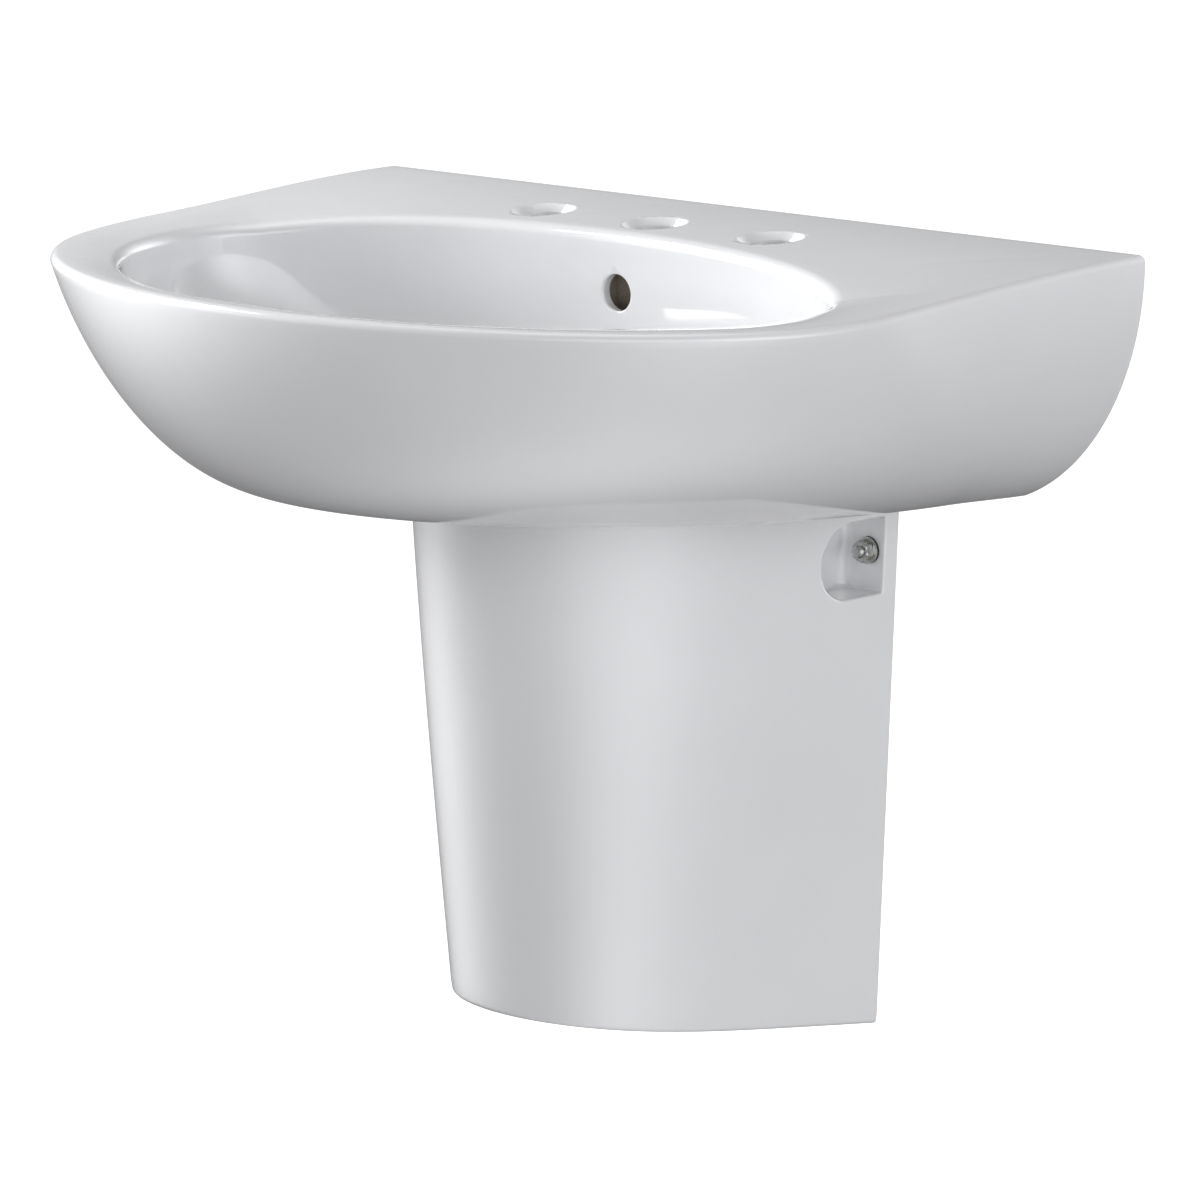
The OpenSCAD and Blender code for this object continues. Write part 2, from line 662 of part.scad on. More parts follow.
// A coil swept along its helix, with 8 sides to the wire
module coil(r, wire, turns, height) {
    sides = 8;
    steps = 12 * turns;
    pitch_z = (height - wire) / steps;
    points = [for (j = [0 : steps]) for (i = [0 : sides - 1])
        let (a = 360 * turns * j / steps, b = 360 * i / sides, out = r + wire / 2 * cos(b))
            [out * cos(a), out * sin(a), wire / 2 * (1 + sin(b)) + pitch_z * j]];
    faces = concat(
        [[for (i = [0 : sides - 1]) i]],
        [for (j = [0 : steps - 1]) for (i = [0 : sides - 1]) let (k = (i + 1) % sides)
            each [[j * sides + i, (j + 1) * sides + i, (j + 1) * sides + k],
                [j * sides + i, (j + 1) * sides + k, j * sides + k]]],
        [[for (i = [sides - 1 : -1 : 0]) steps * sides + i]]);
    polyhedron(points, faces, convexity = 10);
}
module stopper_spring() {
    floor_z = -hub_depth - cartridge_foot + cartridge_floor;
    color(zinc) on_drain(floor_z + spring_gap)
        coil(spring_r, spring_wire, spring_turns, -plunger_depth - floor_z - 2 * spring_gap);
}

module tailpiece() {
    color(chrome) on_drain(-trap_inlet_depth - socket_l) tube(pipe_d, pipe_d - 2 * pipe_t,
        trap_inlet_depth + socket_l + tail_top);
}

// The trap's bend hangs under its two joints; its outlet stands on the wall side
outlet_y = -drain_y + 2 * bend_r;
module slip_nut(y, depth) {
    at_deck() translate([0, y, -depth - nut_skirt]) difference() {
        union() {
            cylinder(d = nut_d, h = nut_skirt, $fn = 8);
            translate([0, 0, nut_skirt])
                cylinder(d1 = nut_d - nut_shoulder, d2 = pipe_d + nut_crown, h = nut_top);
        }
        translate([0, 0, -cut]) cylinder(d = collar_d, h = nut_skirt + cut);
        cylinder(d = pipe_d, h = nut_skirt + nut_top + cut);
    }
}
module slip_washer(y, depth) {
    at_deck() translate([0, y, -depth - slip_washer_h]) tube(collar_d, pipe_d, slip_washer_h);
}
module trap_inlet_nut() color(chrome) slip_nut(-drain_y, trap_inlet_depth);
module trap_inlet_washer() color(plastic) slip_washer(-drain_y, trap_inlet_depth);
module trap_outlet_nut() color(chrome) slip_nut(outlet_y, trap_inlet_depth);
module trap_outlet_washer() color(plastic) slip_washer(outlet_y, trap_inlet_depth);

// A leg of the bend: a collar that takes the pipe, over the bend's own tube
module bend_leg(y) {
    translate([0, y, -collar_l]) tube(collar_d, pipe_d, collar_l);
    translate([0, y, -collar_l - leg_l]) tube(collar_d, pipe_d - 2 * pipe_t, leg_l);
}
module trap_bend() {
    color(chrome) at_deck() translate([0, 0, -trap_inlet_depth - slip_washer_h]) {
        bend_leg(-drain_y);
        bend_leg(outlet_y);
        translate([0, -drain_y + bend_r, -collar_l - leg_l]) rotate([90, 0, 90])
            rotate_extrude(angle = 180, start = 180) translate([bend_r, 0]) pipe_section();
    }
}
module pipe_section() difference() {
    circle(d = pipe_d);
    circle(d = pipe_d - 2 * pipe_t);
}
module trap_arm() {
    rise = trap_inlet_depth + socket_l - trap_arm_depth - elbow_r;
    color(chrome) at_deck() translate([0, outlet_y, -trap_inlet_depth - socket_l]) {
        tube(pipe_d, pipe_d - 2 * pipe_t, rise);
        translate([0, elbow_r, rise]) rotate([90, 0, 90]) rotate_extrude(angle = 90, start = 90)
            translate([elbow_r, 0]) pipe_section();
        translate([0, elbow_r, rise + elbow_r]) rotate([-90, 0, 0])
            tube(pipe_d, pipe_d - 2 * pipe_t, arm_in_wall - outlet_y - elbow_r);
    }
}
module wall_escutcheon() {
    hole_r = pipe_d / 2 + plate_play;
    color(chrome) at_deck() along_wall(0, 0, -trap_arm_depth) turned([
        [hole_r, 0], [plate_r, 0], [plate_r, plate_edge_t], [plate_r - plate_rim, plate_shoulder],
        [hole_r + plate_lip, plate_h], [hole_r, plate_h]]);
}

basin();
shroud();
shroud_pads();
basin_studs();
basin_stud_bushes();
basin_stud_washers();
basin_stud_nuts();
shroud_studs();
shroud_soft_washers();
shroud_washers();
shroud_nuts();
drain_flange();
flange_seal();
drain_body();
drain_gasket();
gasket_washer();
drain_locknut();
stopper_cap();
stopper_seal();
stopper_plunger();
stopper_cartridge();
stopper_spring();
tailpiece();
trap_inlet_nut();
trap_inlet_washer();
trap_bend();
trap_outlet_nut();
trap_outlet_washer();
trap_arm();
wall_escutcheon();
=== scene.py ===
import json
import math

import bpy
import numpy as np
from mathutils import Matrix, Vector
from mathutils.bvhtree import BVHTree
from mathutils.kdtree import KDTree


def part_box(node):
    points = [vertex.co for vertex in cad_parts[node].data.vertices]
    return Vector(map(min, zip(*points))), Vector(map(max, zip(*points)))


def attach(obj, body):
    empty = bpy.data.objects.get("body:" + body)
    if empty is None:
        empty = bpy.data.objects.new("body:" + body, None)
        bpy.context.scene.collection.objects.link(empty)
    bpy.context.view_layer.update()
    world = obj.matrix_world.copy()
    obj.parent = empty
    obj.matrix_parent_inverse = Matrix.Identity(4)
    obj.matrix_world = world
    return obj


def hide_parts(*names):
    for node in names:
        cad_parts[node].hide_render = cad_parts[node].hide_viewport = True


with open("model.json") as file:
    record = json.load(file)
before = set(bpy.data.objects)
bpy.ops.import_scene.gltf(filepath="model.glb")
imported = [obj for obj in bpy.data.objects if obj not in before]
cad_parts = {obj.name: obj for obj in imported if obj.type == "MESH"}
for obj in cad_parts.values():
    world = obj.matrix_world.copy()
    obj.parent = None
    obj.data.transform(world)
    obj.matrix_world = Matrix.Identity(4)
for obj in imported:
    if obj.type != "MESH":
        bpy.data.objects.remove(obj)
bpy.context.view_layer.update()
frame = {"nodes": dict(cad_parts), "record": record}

# Metres throughout, in the CAD's frame: x along the wall, y into it, z up, the wall's face at y = 0.
MM = 0.001
NODES = frame["nodes"]
ROOT, STOPPER = "root", "stopper"

# ---------------------------------------------------------------- sizes

basin_low, basin_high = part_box("basin")
DECK = basin_high.z  # height of the back deck, which the basin's formulas count down from
HALF_W = basin_high.x
DEPTH = -basin_low.y
BASIN_H = 163 * MM
RIM_DROP, DROP_RUN = 16 * MM, 311 * MM
SIDE_RUN, SIDE_TAPER = 226 * MM, 5 * MM
EDGE_R, BACK_R, SKIN = 5 * MM, 2.5 * MM, 11 * MM
SIDE_IN, SIDE_DOWN = 133.6 * MM, 165.5 * MM
FRONT_IN, FRONT_DOWN = 86 * MM, 160 * MM
UNDER_RISE = 0.036
WALL_H = BASIN_H - EDGE_R

BOWL_RX, BOWL_TAPER, BOWL_SWEEP = 273.5 * MM, 0.25, 8 * MM  # an egg, wider towards the wall
BOWL_BACK, FRONT_RIM, BOWL_DEPTH, ROLL_R = 112 * MM, 18 * MM, 128 * MM, 8 * MM
BOWL_RY = (DEPTH - FRONT_RIM - BOWL_BACK) / 2
BOWL_CY = BOWL_BACK + BOWL_RY
DRAIN_Y = 200 * MM
WALL_POWER, FLOOR_POWER, SHIFT_POWER = 0.62, 0.9, 2.5
DISH, DISH_START, DISH_RUN, DISH_FULL = 5 * MM, 100 * MM, 120 * MM, 80 * MM

FAUCET_R, FAUCET_PITCH, FAUCET_Y = 17.5 * MM, 101.6 * MM, 84 * MM
FAUCET_BEVEL, FAUCET_SOFT, FAUCET_CUT = 5 * MM, 1 * MM, 22 * MM  # the bevel, its rounding, the drill's depth
OVERFLOW_R, OVERFLOW_DEPTH, OVERFLOW_SOFT, OVERFLOW_CUT = 12 * MM, 45 * MM, 1.5 * MM, 13 * MM
HANGER_X, HANGER_HOLE_R = 140 * MM, 8 * MM
DRAIN_HOLE_R, DRAIN_SEAT_R, DRAIN_SEAT_FOOT_R, DRAIN_UNDER = 22 * MM, 34 * MM, 32.5 * MM, 153 * MM
FLANGE_R, FLANGE_RISE = 31.5 * MM, 3.4 * MM  # the drain flange, and how far its dome stands off the china
BACK_WALL, CAVITY_TOP, HATCH_IN, HATCH_H = 14 * MM, 1.5 * MM, 24 * MM, 22 * MM
ACCESS_W, ACCESS_TOP = 400 * MM, 112 * MM
BOSS_R, DUCT_W, DUCT_T, DUCT_SKIN, DUCT_FOOT = 40 * MM, 26 * MM, 8 * MM, 7 * MM, 147 * MM
DUCT_BACK = BOWL_BACK + ROLL_R - DUCT_SKIN - DUCT_T  # from the wall to the duct's rear face
PAST = 5 * MM  # how far a tool runs past what it cuts

SHROUD_W = (281 * MM, 251 * MM)  # at the top and at the bottom
SHROUD_D = (262 * MM, 235 * MM)
SHROUD_TOP, SHROUD_BOTTOM, SHROUD_RISE = 165.5 * MM, 535 * MM, 32 * MM
SHROUD_SKIN, SHROUD_SOFT, SPLAY_LOW, PLAN_SPREAD = 12 * MM, 3.5 * MM, 0.15, 0.9
FRONT_POWER = (2.9, 5.3)
BEARING_T, FLANGE_IN = 12 * MM, 95 * MM
POCKET_IN, POCKET_RUN, POCKET_TOP, POCKET_FLOOR = 35 * MM, 58 * MM, 188 * MM, 239 * MM
SCOOP_R = 54 * MM  # how the pocket's inner side curves out to its front
POCKET_SOFT, POCKET_FLARE = 8 * MM, 1.6 * MM
BASIN_STUD_D, SHROUD_STUD_D, STUD_HOLE_R = 10 * MM, 8 * MM, 5 * MM
STUD_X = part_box("shroud_studs")[1].x - SHROUD_STUD_D / 2
STUD_Z = DECK - 212 * MM
PIPE_R, PIPE_WALL, COLLAR_R = 15.875 * MM, 1.2 * MM, 18.5 * MM
SIDE_X = SHROUD_W[0] / 2 - 1.5 * MM

# ---------------------------------------------------------------- helpers for shapes


def ease(t):
    t = np.clip(t, 0, 1)
    return t * t * (3 - 2 * t)


def mix(a, b, t):
    return a + (b - a) * t


def arc_in(a, b, d):
    return a * (1 - math.sqrt(max(0.0, 1 - (d / b) ** 2)))


def on_deck(xy, z):
    """Points with heights counted from the back deck."""
    return np.column_stack([xy, np.broadcast_to(z, len(xy)) + DECK])


def grid(rings, looped=False):
    """Vertices and faces of a closed surface through equal rings: capped at both ends, or looped."""
    count, n = len(rings), len(rings[0])
    points = np.vstack(rings)
    j = np.arange(count if looped else count - 1)[:, None]
    i = np.arange(n)[None, :]
    k, after = (i + 1) % n, (j + 1) % count
    quads = np.stack([j * n + i, j * n + k, after * n + k, after * n + i], -1).reshape(-1, 4)
    faces = [tuple(q) for q in quads.tolist()]
    if not looped:
        points = np.vstack([points, rings[0].mean(0), rings[-1].mean(0)])
        top, low = count * n, count * n + 1
        faces += [(top, (a + 1) % n, a) for a in range(n)]
        faces += [(low, (count - 1) * n + a, (count - 1) * n + (a + 1) % n) for a in range(n)]
    return points, faces


def together(*shapes):
    """Several shapes as one list of vertices and faces."""
    points, faces, base = [], [], 0
    for p, f in shapes:
        points.append(np.asarray(p, float))
        faces += [tuple(base + v for v in face) for face in f]
        base += len(p)
    return np.vstack(points), faces


def volume(points, faces):
    total = 0.0
    for f in faces:
        for a, b in zip(f[1:-1], f[2:]):
            total += float(np.dot(points[f[0]], np.cross(points[a], points[b])))
    return total


def placed(name, data):
    obj = bpy.data.objects.new(name, data)
    bpy.context.scene.collection.objects.link(obj)
    return obj


def mesh_object(name, shape):
    points, faces = shape
    points = np.asarray(points, float)
    if volume(points, faces) < 0:
        faces = [tuple(reversed(f)) for f in faces]
    mesh = bpy.data.meshes.new(name)
    mesh.from_pydata(points.tolist(), [], faces)
    mesh.validate()
    return placed(name, mesh)


def carve(obj, *tools, operation="DIFFERENCE"):
    """Cuts the tools out of obj, or keeps only what they share, and removes the tools."""
    for tool in tools:
        change = obj.modifiers.new("cut", "BOOLEAN")
        change.operation = operation
        change.solver = "MANIFOLD"
        change.object = tool
        shown = obj.evaluated_get(bpy.context.evaluated_depsgraph_get())
        mesh = bpy.data.meshes.new_from_object(shown)
        obj.modifiers.remove(change)
        obj.data = mesh
        bpy.data.objects.remove(tool)
    return obj


def box_tool(low, high):
    (x0, y0, z0), (x1, y1, z1) = low, high
    plan = [(x0, y0), (x1, y0), (x1, y1), (x0, y1)]
    return mesh_object("tool", grid([np.array([(x, y, z) for x, y in plan], float) for z in (z1, z0)]))


def spun(profile, n=96, sides=0, looped=False, corner=0.985):
    """A shape turned about z from (radius, height) pairs. A third value makes that ring a polygon.

    The polygon's corners are cut back to the share of their radius that corner says.
    """
    angle = 2 * np.pi * np.arange(n) / n
    facet = np.ones(n)
    if sides:
        half = math.pi / sides
        facet = math.cos(half) / np.cos((angle + half) % (2 * half) - half)
        facet = np.minimum(facet, corner)
    rings = []
    for point in profile:
        r = point[0] * (facet if len(point) > 2 else 1.0)
        z = np.full(n, point[1])
        rings.append(np.column_stack([r * np.cos(angle), r * np.sin(angle), z]))
    return grid(rings, looped)


def turned_to(shape, origin, direction):
    """The shape with its z axis laid along direction, from origin."""
    spin = Vector(direction).to_track_quat("Z", "Y").to_matrix()
    points = np.asarray(shape[0]) @ np.array(spin).T + np.array(origin, float)
    return points, shape[1]


def on_axis(shape, y, z):
    return np.asarray(shape[0]) + np.array([0, y, z]), shape[1]


def drain_tool(profile, n=96):
    """A tool turned about the drain's axis."""
    return mesh_object("tool", on_axis(spun(profile, n), -DRAIN_Y, 0))


def rounded(r0, z0, r1, z1, r, n=4):
    """The section of a ring with rounded edges, from its bore's foot round the outside."""
    out = []
    inner, outer, foot, top = r0 + r, r1 - r, z0 + r, z1 - r
    for rc, zc, start in ((inner, foot, 180), (outer, foot, 270), (outer, top, 0), (inner, top, 90)):
        for i in range(n + 1):
            a = math.radians(start + 90 * i / n)
            out.append((rc + r * math.cos(a), zc + r * math.sin(a)))
    return out


def swept(path, radii, n=48):
    """Rings square to a path in a plane x = constant, with a radius for each point."""
    path = np.asarray(path, float)
    along = np.gradient(path, axis=0)
    along /= np.linalg.norm(along, axis=1)[:, None]
    side = np.array([1.0, 0, 0])
    angle = 2 * np.pi * np.arange(n) / n
    rings = []
    for p, t, r in zip(path, along, radii):
        up = np.cross(side, t)
        rings.append(p + r * (np.outer(np.cos(angle), side) + np.outer(np.sin(angle), up)))
    return rings


def surface_at(obj, origin, direction):
    """Where a ray first meets obj, and the surface's normal there."""
    tree = BVHTree.FromObject(obj, bpy.context.evaluated_depsgraph_get())
    place, normal, _, _ = tree.ray_cast(Vector(origin), Vector(direction))
    return place, normal


def flared_tool(obj, origin, direction, r, flare, depth, bevel=0.0):
    """A drill with a bevelled mouth, rounded over by flare, laid square on the surface it meets."""
    place, normal = surface_at(obj, origin, direction)
    past, steps, first = 3 * MM, 8, 4 if bevel else 1  # a bevel meets the rounding half way round it
    profile = [(r, -depth)]
    if bevel:
        soft = 0.6 * MM
        profile += [(r, -bevel - soft), (r + 0.3 * soft, -bevel), (r + 1.2 * soft, soft - bevel)]
        r += bevel - flare
    else:
        profile.append((r, -flare))
    for i in range(first, steps + 1):
        a = math.radians(90 * i / steps)
        profile.append((r + flare * (1 - math.cos(a)), -flare + flare * math.sin(a)))
    profile += [(r + flare + 2 * past, past / 3), (r + flare + 2 * past, 4 * past)]
    return mesh_object("tool", turned_to(spun(profile[::-1], 128), place, normal))


def smooth(obj, angle):
    for face in obj.data.polygons:
        face.use_smooth = True
    obj.data.set_sharp_from_angle(angle=math.radians(angle))


def uncut_normals(obj):
    """A lookup of the surface's smooth normals, taken before anything is cut out of it."""
    tree = KDTree(len(obj.data.vertices))
    for v in obj.data.vertices:
        tree.insert(v.co, v.index)
    tree.balance()
    return tree, [v.normal.copy() for v in obj.data.vertices]


def keep_normals(obj, lookup, reach=0.01 * MM, lean=0.85):
    """Cutting triangulates the surface unevenly, so its old points get their smooth normals back.

    A corner gets one where an old point lies within reach, and the face leans no further from it than lean.
    """
    tree, normals = lookup
    mesh = obj.data
    old = []
    for v in mesh.vertices:
        _, index, gap = tree.find(v.co)
        old.append(normals[index] if gap < reach else None)
    kept = [Vector((0, 0, 0))] * len(mesh.loops)  # a zero leaves the computed normal
    for face in mesh.polygons:
        for corner in face.loop_indices:
            normal = old[mesh.loops[corner].vertex_index]
            if normal is not None and normal.dot(face.normal) > lean:
                kept[corner] = normal
    mesh.normals_split_custom_set(kept)


# ---------------------------------------------------------------- the basin

BACK_N, SIDE_N, FRONT_N = 108, 44, 240


def rim_z(y):
    return -RIM_DROP * ease(-y / DROP_RUN)


def ring(half_w, run, depth, taper, back, counts=(BACK_N, SIDE_N, FRONT_N)):
    """One outline of the basin: back, left side, front curve, right side, anticlockwise from above."""
    back_n, side_n, front_n = counts
    u, t = np.arange(back_n) / back_n, np.arange(side_n) / side_n
    a = np.pi * (1 + np.arange(front_n) / front_n)
    parts = [
        np.column_stack([half_w * (1 - 2 * u), np.full(back_n, -back)]),
        np.column_stack([-half_w + taper * ease(t), -mix(back, run, t)]),
        np.column_stack([(half_w - taper) * np.cos(a), -run + (depth - run) * np.sin(a)]),
        np.column_stack([half_w - taper * ease(1 - t), -mix(back, run, 1 - t)]),
    ]
    return np.vstack(parts)


class Bowl:
    """The deck and bowl on one set of bearings, fine for what shows and coarse for the hollow."""

    def __init__(self, counts, back):
        self.outline = ring(HALF_W - EDGE_R, SIDE_RUN, DEPTH - EDGE_R, SIDE_TAPER, back, counts)
        x, y = self.outline.T
        self.bearing = np.arctan2((y + BOWL_CY) / BOWL_RY, x / BOWL_RX)
        self.mouth = self.oval(BOWL_RX, BOWL_RY, BOWL_CY)
        width = np.linalg.norm(self.outline - self.mouth, axis=1)
        reach = ease((-self.mouth[:, 1] - DISH_START) / DISH_RUN)
        self.dish = DISH * reach * np.clip(width / DISH_FULL, 0, 1)
        near = self.deck(0.99)
        step = np.linalg.norm(near[:, :2] - self.mouth, axis=1)
        self.fall = (near[:, 2] - self.deck(1)[:, 2]) / step  # slope of the deck where the bowl begins

    def oval(self, rx, ry, cy):
        s, c = np.sin(self.bearing), np.cos(self.bearing)
        y = -cy + ry * s - BOWL_SWEEP * (rx / BOWL_RX) * c**2
        return np.column_stack([rx * c * (1 + BOWL_TAPER * s), y])

    def deck(self, g, down=0.0):
        p = mix(self.outline, self.mouth, g)
        return on_deck(p, rim_z(p[:, 1]) - self.dish * g * g - down)

    def roll(self, a):
        s, c = math.sin(a), math.cos(a)
        z = rim_z(self.mouth[:, 1]) - self.dish - ROLL_R * (1 - c) - self.fall * ROLL_R * s * c
        return on_deck(self.oval(BOWL_RX - ROLL_R * s, BOWL_RY - ROLL_R * s, BOWL_CY), z)

    def wall(self, t, out=0.0):
        wide, deep = math.cos(t) ** WALL_POWER, math.sin(t) ** FLOOR_POWER
        cy = mix(BOWL_CY, DRAIN_Y, deep**SHIFT_POWER)
        p = self.oval((BOWL_RX - ROLL_R) * wide + out, (BOWL_RY - ROLL_R) * wide + out, cy)
        start = rim_z(self.mouth[:, 1]) - self.dish - ROLL_R
        return on_deck(p, mix(start, -BOWL_DEPTH, deep) - out * deep)


def edge_ring(a):
    inset, drop = EDGE_R * (1 - math.cos(a)), EDGE_R * (1 - math.sin(a))
    back = BACK_R - math.sqrt(max(0.0, BACK_R**2 - max(0.0, BACK_R - drop) ** 2))
    p = ring(HALF_W - inset, SIDE_RUN, DEPTH - inset, SIDE_TAPER, back)
    return on_deck(p, rim_z(p[:, 1]) - drop)


def side_ring(d, t, back, counts=(BACK_N, SIDE_N, FRONT_N)):
    half_w = HALF_W - arc_in(SIDE_IN, SIDE_DOWN, d) - t
    depth = DEPTH - arc_in(FRONT_IN, FRONT_DOWN, d) - t
    p = ring(half_w, SIDE_RUN - d, depth, SIDE_TAPER, back, counts)
    low, y = d / WALL_H, p[:, 1]
    return on_deck(p, -EDGE_R - d + rim_z(y) * (1 - low) - UNDER_RISE * y * low)


def under_ring(inset):
    half_w = HALF_W - arc_in(SIDE_IN, SIDE_DOWN, WALL_H) - inset
    depth = DEPTH - arc_in(FRONT_IN, FRONT_DOWN, WALL_H) - inset
    p = ring(half_w, SIDE_RUN - WALL_H, depth, SIDE_TAPER, 0)
    return on_deck(p, -BASIN_H - UNDER_RISE * p[:, 1])


def basin_outside():
    bowl = Bowl((BACK_N, SIDE_N, FRONT_N), BACK_R)
    steps = 44
    rings = [bowl.wall(math.radians(89.5) * (i / steps) ** 0.9) for i in range(steps, -1, -1)]
    rings += [bowl.roll(math.radians(90 * i / 10)) for i in range(9, 0, -1)]
    rings += [bowl.deck(g) for g in 1 - np.linspace(0, 1, 22, endpoint=False)]
    rings += [edge_ring(math.radians(90 * i / 12)) for i in range(12, 0, -1)]
    rings += [side_ring((WALL_H - 1 * MM) * math.sin(math.radians(90 * i / 46)), 0, 0) for i in range(47)]
    rings += [under_ring(inset * MM) for inset in (3, 9, 30, 70, 110)]
    return mesh_object("basin_glazed", grid(rings))


def shroud_plan(f, inset, behind, steps=64):
    i = np.arange(-steps, steps + 1)
    w = mix(*SHROUD_W, f) / 2 - inset
    d = mix(*SHROUD_D, f) - inset
    y = d * np.sin(np.pi / 2 * (1 - np.abs(i) / steps)) ** PLAN_SPREAD
    bulge = np.sqrt(np.maximum(0, 1 - (y / d) ** mix(*FRONT_POWER, f)))
    x = np.sign(i) * (w - SPLAY_LOW * f * y) * bulge
    return np.column_stack([x, np.where(np.abs(i) == steps, behind, -y)])


def shroud_z(f, y):
    top = -SHROUD_TOP - UNDER_RISE * y
    return mix(top, -SHROUD_BOTTOM - SHROUD_RISE * y / SHROUD_D[1], f)


def shroud_ring(f, inset, behind, up=0.0):
    p = shroud_plan(f, inset, behind)
    return on_deck(p, shroud_z(f, p[:, 1]) + up)


def basin_hollow():
    """The space between bowl and side, less the drain's boss and the overflow duct."""
    counts, low, soft = (40, 16, 80), DECK - BASIN_H, 2 * MM
    bowl = Bowl(counts, 0)
    rings = [bowl.wall(math.radians(90 * i / 24), SKIN) for i in range(23, 3, -1)]
    rings += [bowl.deck(g, SKIN + CAVITY_TOP) for g in (1, 0.8, 0.6, 0.4, 0.2)]
    for i in range(16):
        d = mix(SKIN, WALL_H - SKIN, math.sin(math.radians(90 * i / 15)))
        rings.append(side_ring(d, SKIN, BACK_WALL, counts))
    hollow = mesh_object("tool", grid(rings))
    keep = box_tool((-HALF_W, -DEPTH, low), (HALF_W, -BACK_WALL, DECK))
    carve(hollow, keep, operation="INTERSECT")
    boss = drain_tool([(BOSS_R, DECK - BOWL_DEPTH + soft), (BOSS_R, low)])
    duct_x, wall_y = DUCT_W / 2 + DUCT_SKIN, BOWL_BACK + ROLL_R
    duct = box_tool(
        (-duct_x, -wall_y - ROLL_R, low),
        (duct_x, DUCT_T + 2 * DUCT_SKIN - wall_y, DECK - OVERFLOW_DEPTH + 2 * OVERFLOW_R),
    )
    floor = box_tool((-duct_x, -DRAIN_Y, low), (duct_x, -DUCT_BACK, DECK - BOWL_DEPTH + soft))
    return carve(hollow, boss, duct, floor)


def basin():
    obj = basin_outside()
    lookup = uncut_normals(obj)
    low, proud = DECK - BASIN_H, 2 * MM
    tools = []
    for x in (-FAUCET_PITCH, 0, FAUCET_PITCH):
        tools.append(flared_tool(
            obj, (x, -FAUCET_Y, 1), (0, 0, -1), FAUCET_R, FAUCET_SOFT, FAUCET_CUT, FAUCET_BEVEL
        ))
    mouth_z = DECK - OVERFLOW_DEPTH
    tools.append(flared_tool(
        obj, (0, -DRAIN_Y, mouth_z), (0, 1, 0), OVERFLOW_R, OVERFLOW_SOFT, OVERFLOW_CUT
    ))
    flange_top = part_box("drain_flange")[1].z
    seat = [(DRAIN_SEAT_R, DECK), (DRAIN_SEAT_R, flange_top + proud)]
    seat.append((DRAIN_SEAT_FOOT_R, flange_top - FLANGE_RISE))
    tools.append(drain_tool(seat, 128))
    tools.append(drain_tool([(DRAIN_HOLE_R, DECK), (DRAIN_HOLE_R, low - PAST)]))
    tools.append(drain_tool([(DRAIN_SEAT_R, DECK - DRAIN_UNDER), (DRAIN_SEAT_R, low - PAST)]))
    hatch = shroud_plan(0, HATCH_IN, -BACK_WALL)
    tools.append(mesh_object("tool", grid([on_deck(hatch, z - DECK) for z in (low + HATCH_H, low - PAST)])))
    tools.append(box_tool(
        (-ACCESS_W / 2, -BACK_WALL - 1 * MM, low + SKIN), (ACCESS_W / 2, proud, DECK - ACCESS_TOP)
    ))
    for sign in (-1, 1):
        hole = spun([(HANGER_HOLE_R, proud), (HANGER_HOLE_R, -BACK_WALL - proud)], 64)
        tools.append(mesh_object("tool", turned_to(hole, (sign * HANGER_X, 0, 0), (0, 1, 0))))
    top, foot = DECK - OVERFLOW_DEPTH + OVERFLOW_R + proud, DECK - DUCT_FOOT
    tools.append(box_tool((-DUCT_W / 2, -DUCT_BACK - DUCT_T, foot), (DUCT_W / 2, -DUCT_BACK, top)))
    carve(obj, basin_hollow(), *tools)
    finish_piece(obj, ROOT, ["basin"], glaze())
    keep_normals(obj, lookup)


# ---------------------------------------------------------------- the half pedestal


def outer_x(y, z):
    """How far out the half pedestal's side lies at depth y and height z, from the deck."""
    top = -SHROUD_TOP - UNDER_RISE * y
    low = -SHROUD_BOTTOM - SHROUD_RISE * y / SHROUD_D[1]
    f = np.clip((z - top) / (low - top), 0, 1)
    run = np.clip(-y, 0, None) / mix(*SHROUD_D, f)
    bulge = np.sqrt(np.maximum(0, 1 - run ** mix(*FRONT_POWER, f)))
    return (mix(*SHROUD_W, f) / 2 + SPLAY_LOW * f * y) * bulge


def bulge_in(r, left):
    """How far a fillet of radius r has drawn in where left is still to go."""
    return r - math.sqrt(max(0.0, r * r - max(0.0, r - left) ** 2))


def pocket_layer(s):
    """The pocket's outline at depth s below the pedestal's side: square at the wall and round in front."""
    left = POCKET_IN - s
    grow = bulge_in(POCKET_FLARE, s) if s < POCKET_FLARE else 0.0
    half = (POCKET_FLOOR - POCKET_TOP) / 2
    mid_z = -POCKET_TOP - half
    back = -BEARING_T - bulge_in(POCKET_SOFT, left) + grow
    front = -BEARING_T - POCKET_SOFT - math.sqrt(left * (2 * SCOOP_R - left)) - grow
    half += grow - bulge_in(0.6 * POCKET_SOFT, left)
    fits = min((back - front) / 2, half)
    back_r = min(2.5 * MM + grow, 0.9 * fits)
    front_r = min(mix(half, POCKET_SOFT, np.clip(s / POCKET_IN, 0, 1)), 1.9 * fits - back_r, half)
    points = []
    for y, up, r, start in (
        (back, 1, back_r, 0), (front, 1, front_r, 90), (front, -1, front_r, 180), (back, -1, back_r, 270)
    ):
        centre_y = y - r if y == back else y + r
        for i in range(17):
            a = math.radians(start + 90 * i / 16)
            points.append((centre_y + r * math.cos(a), mid_z + up * (half - r) + r * math.sin(a)))
    y, z = np.array(points).T
    return np.column_stack([outer_x(y, z) - s, y, z + DECK])


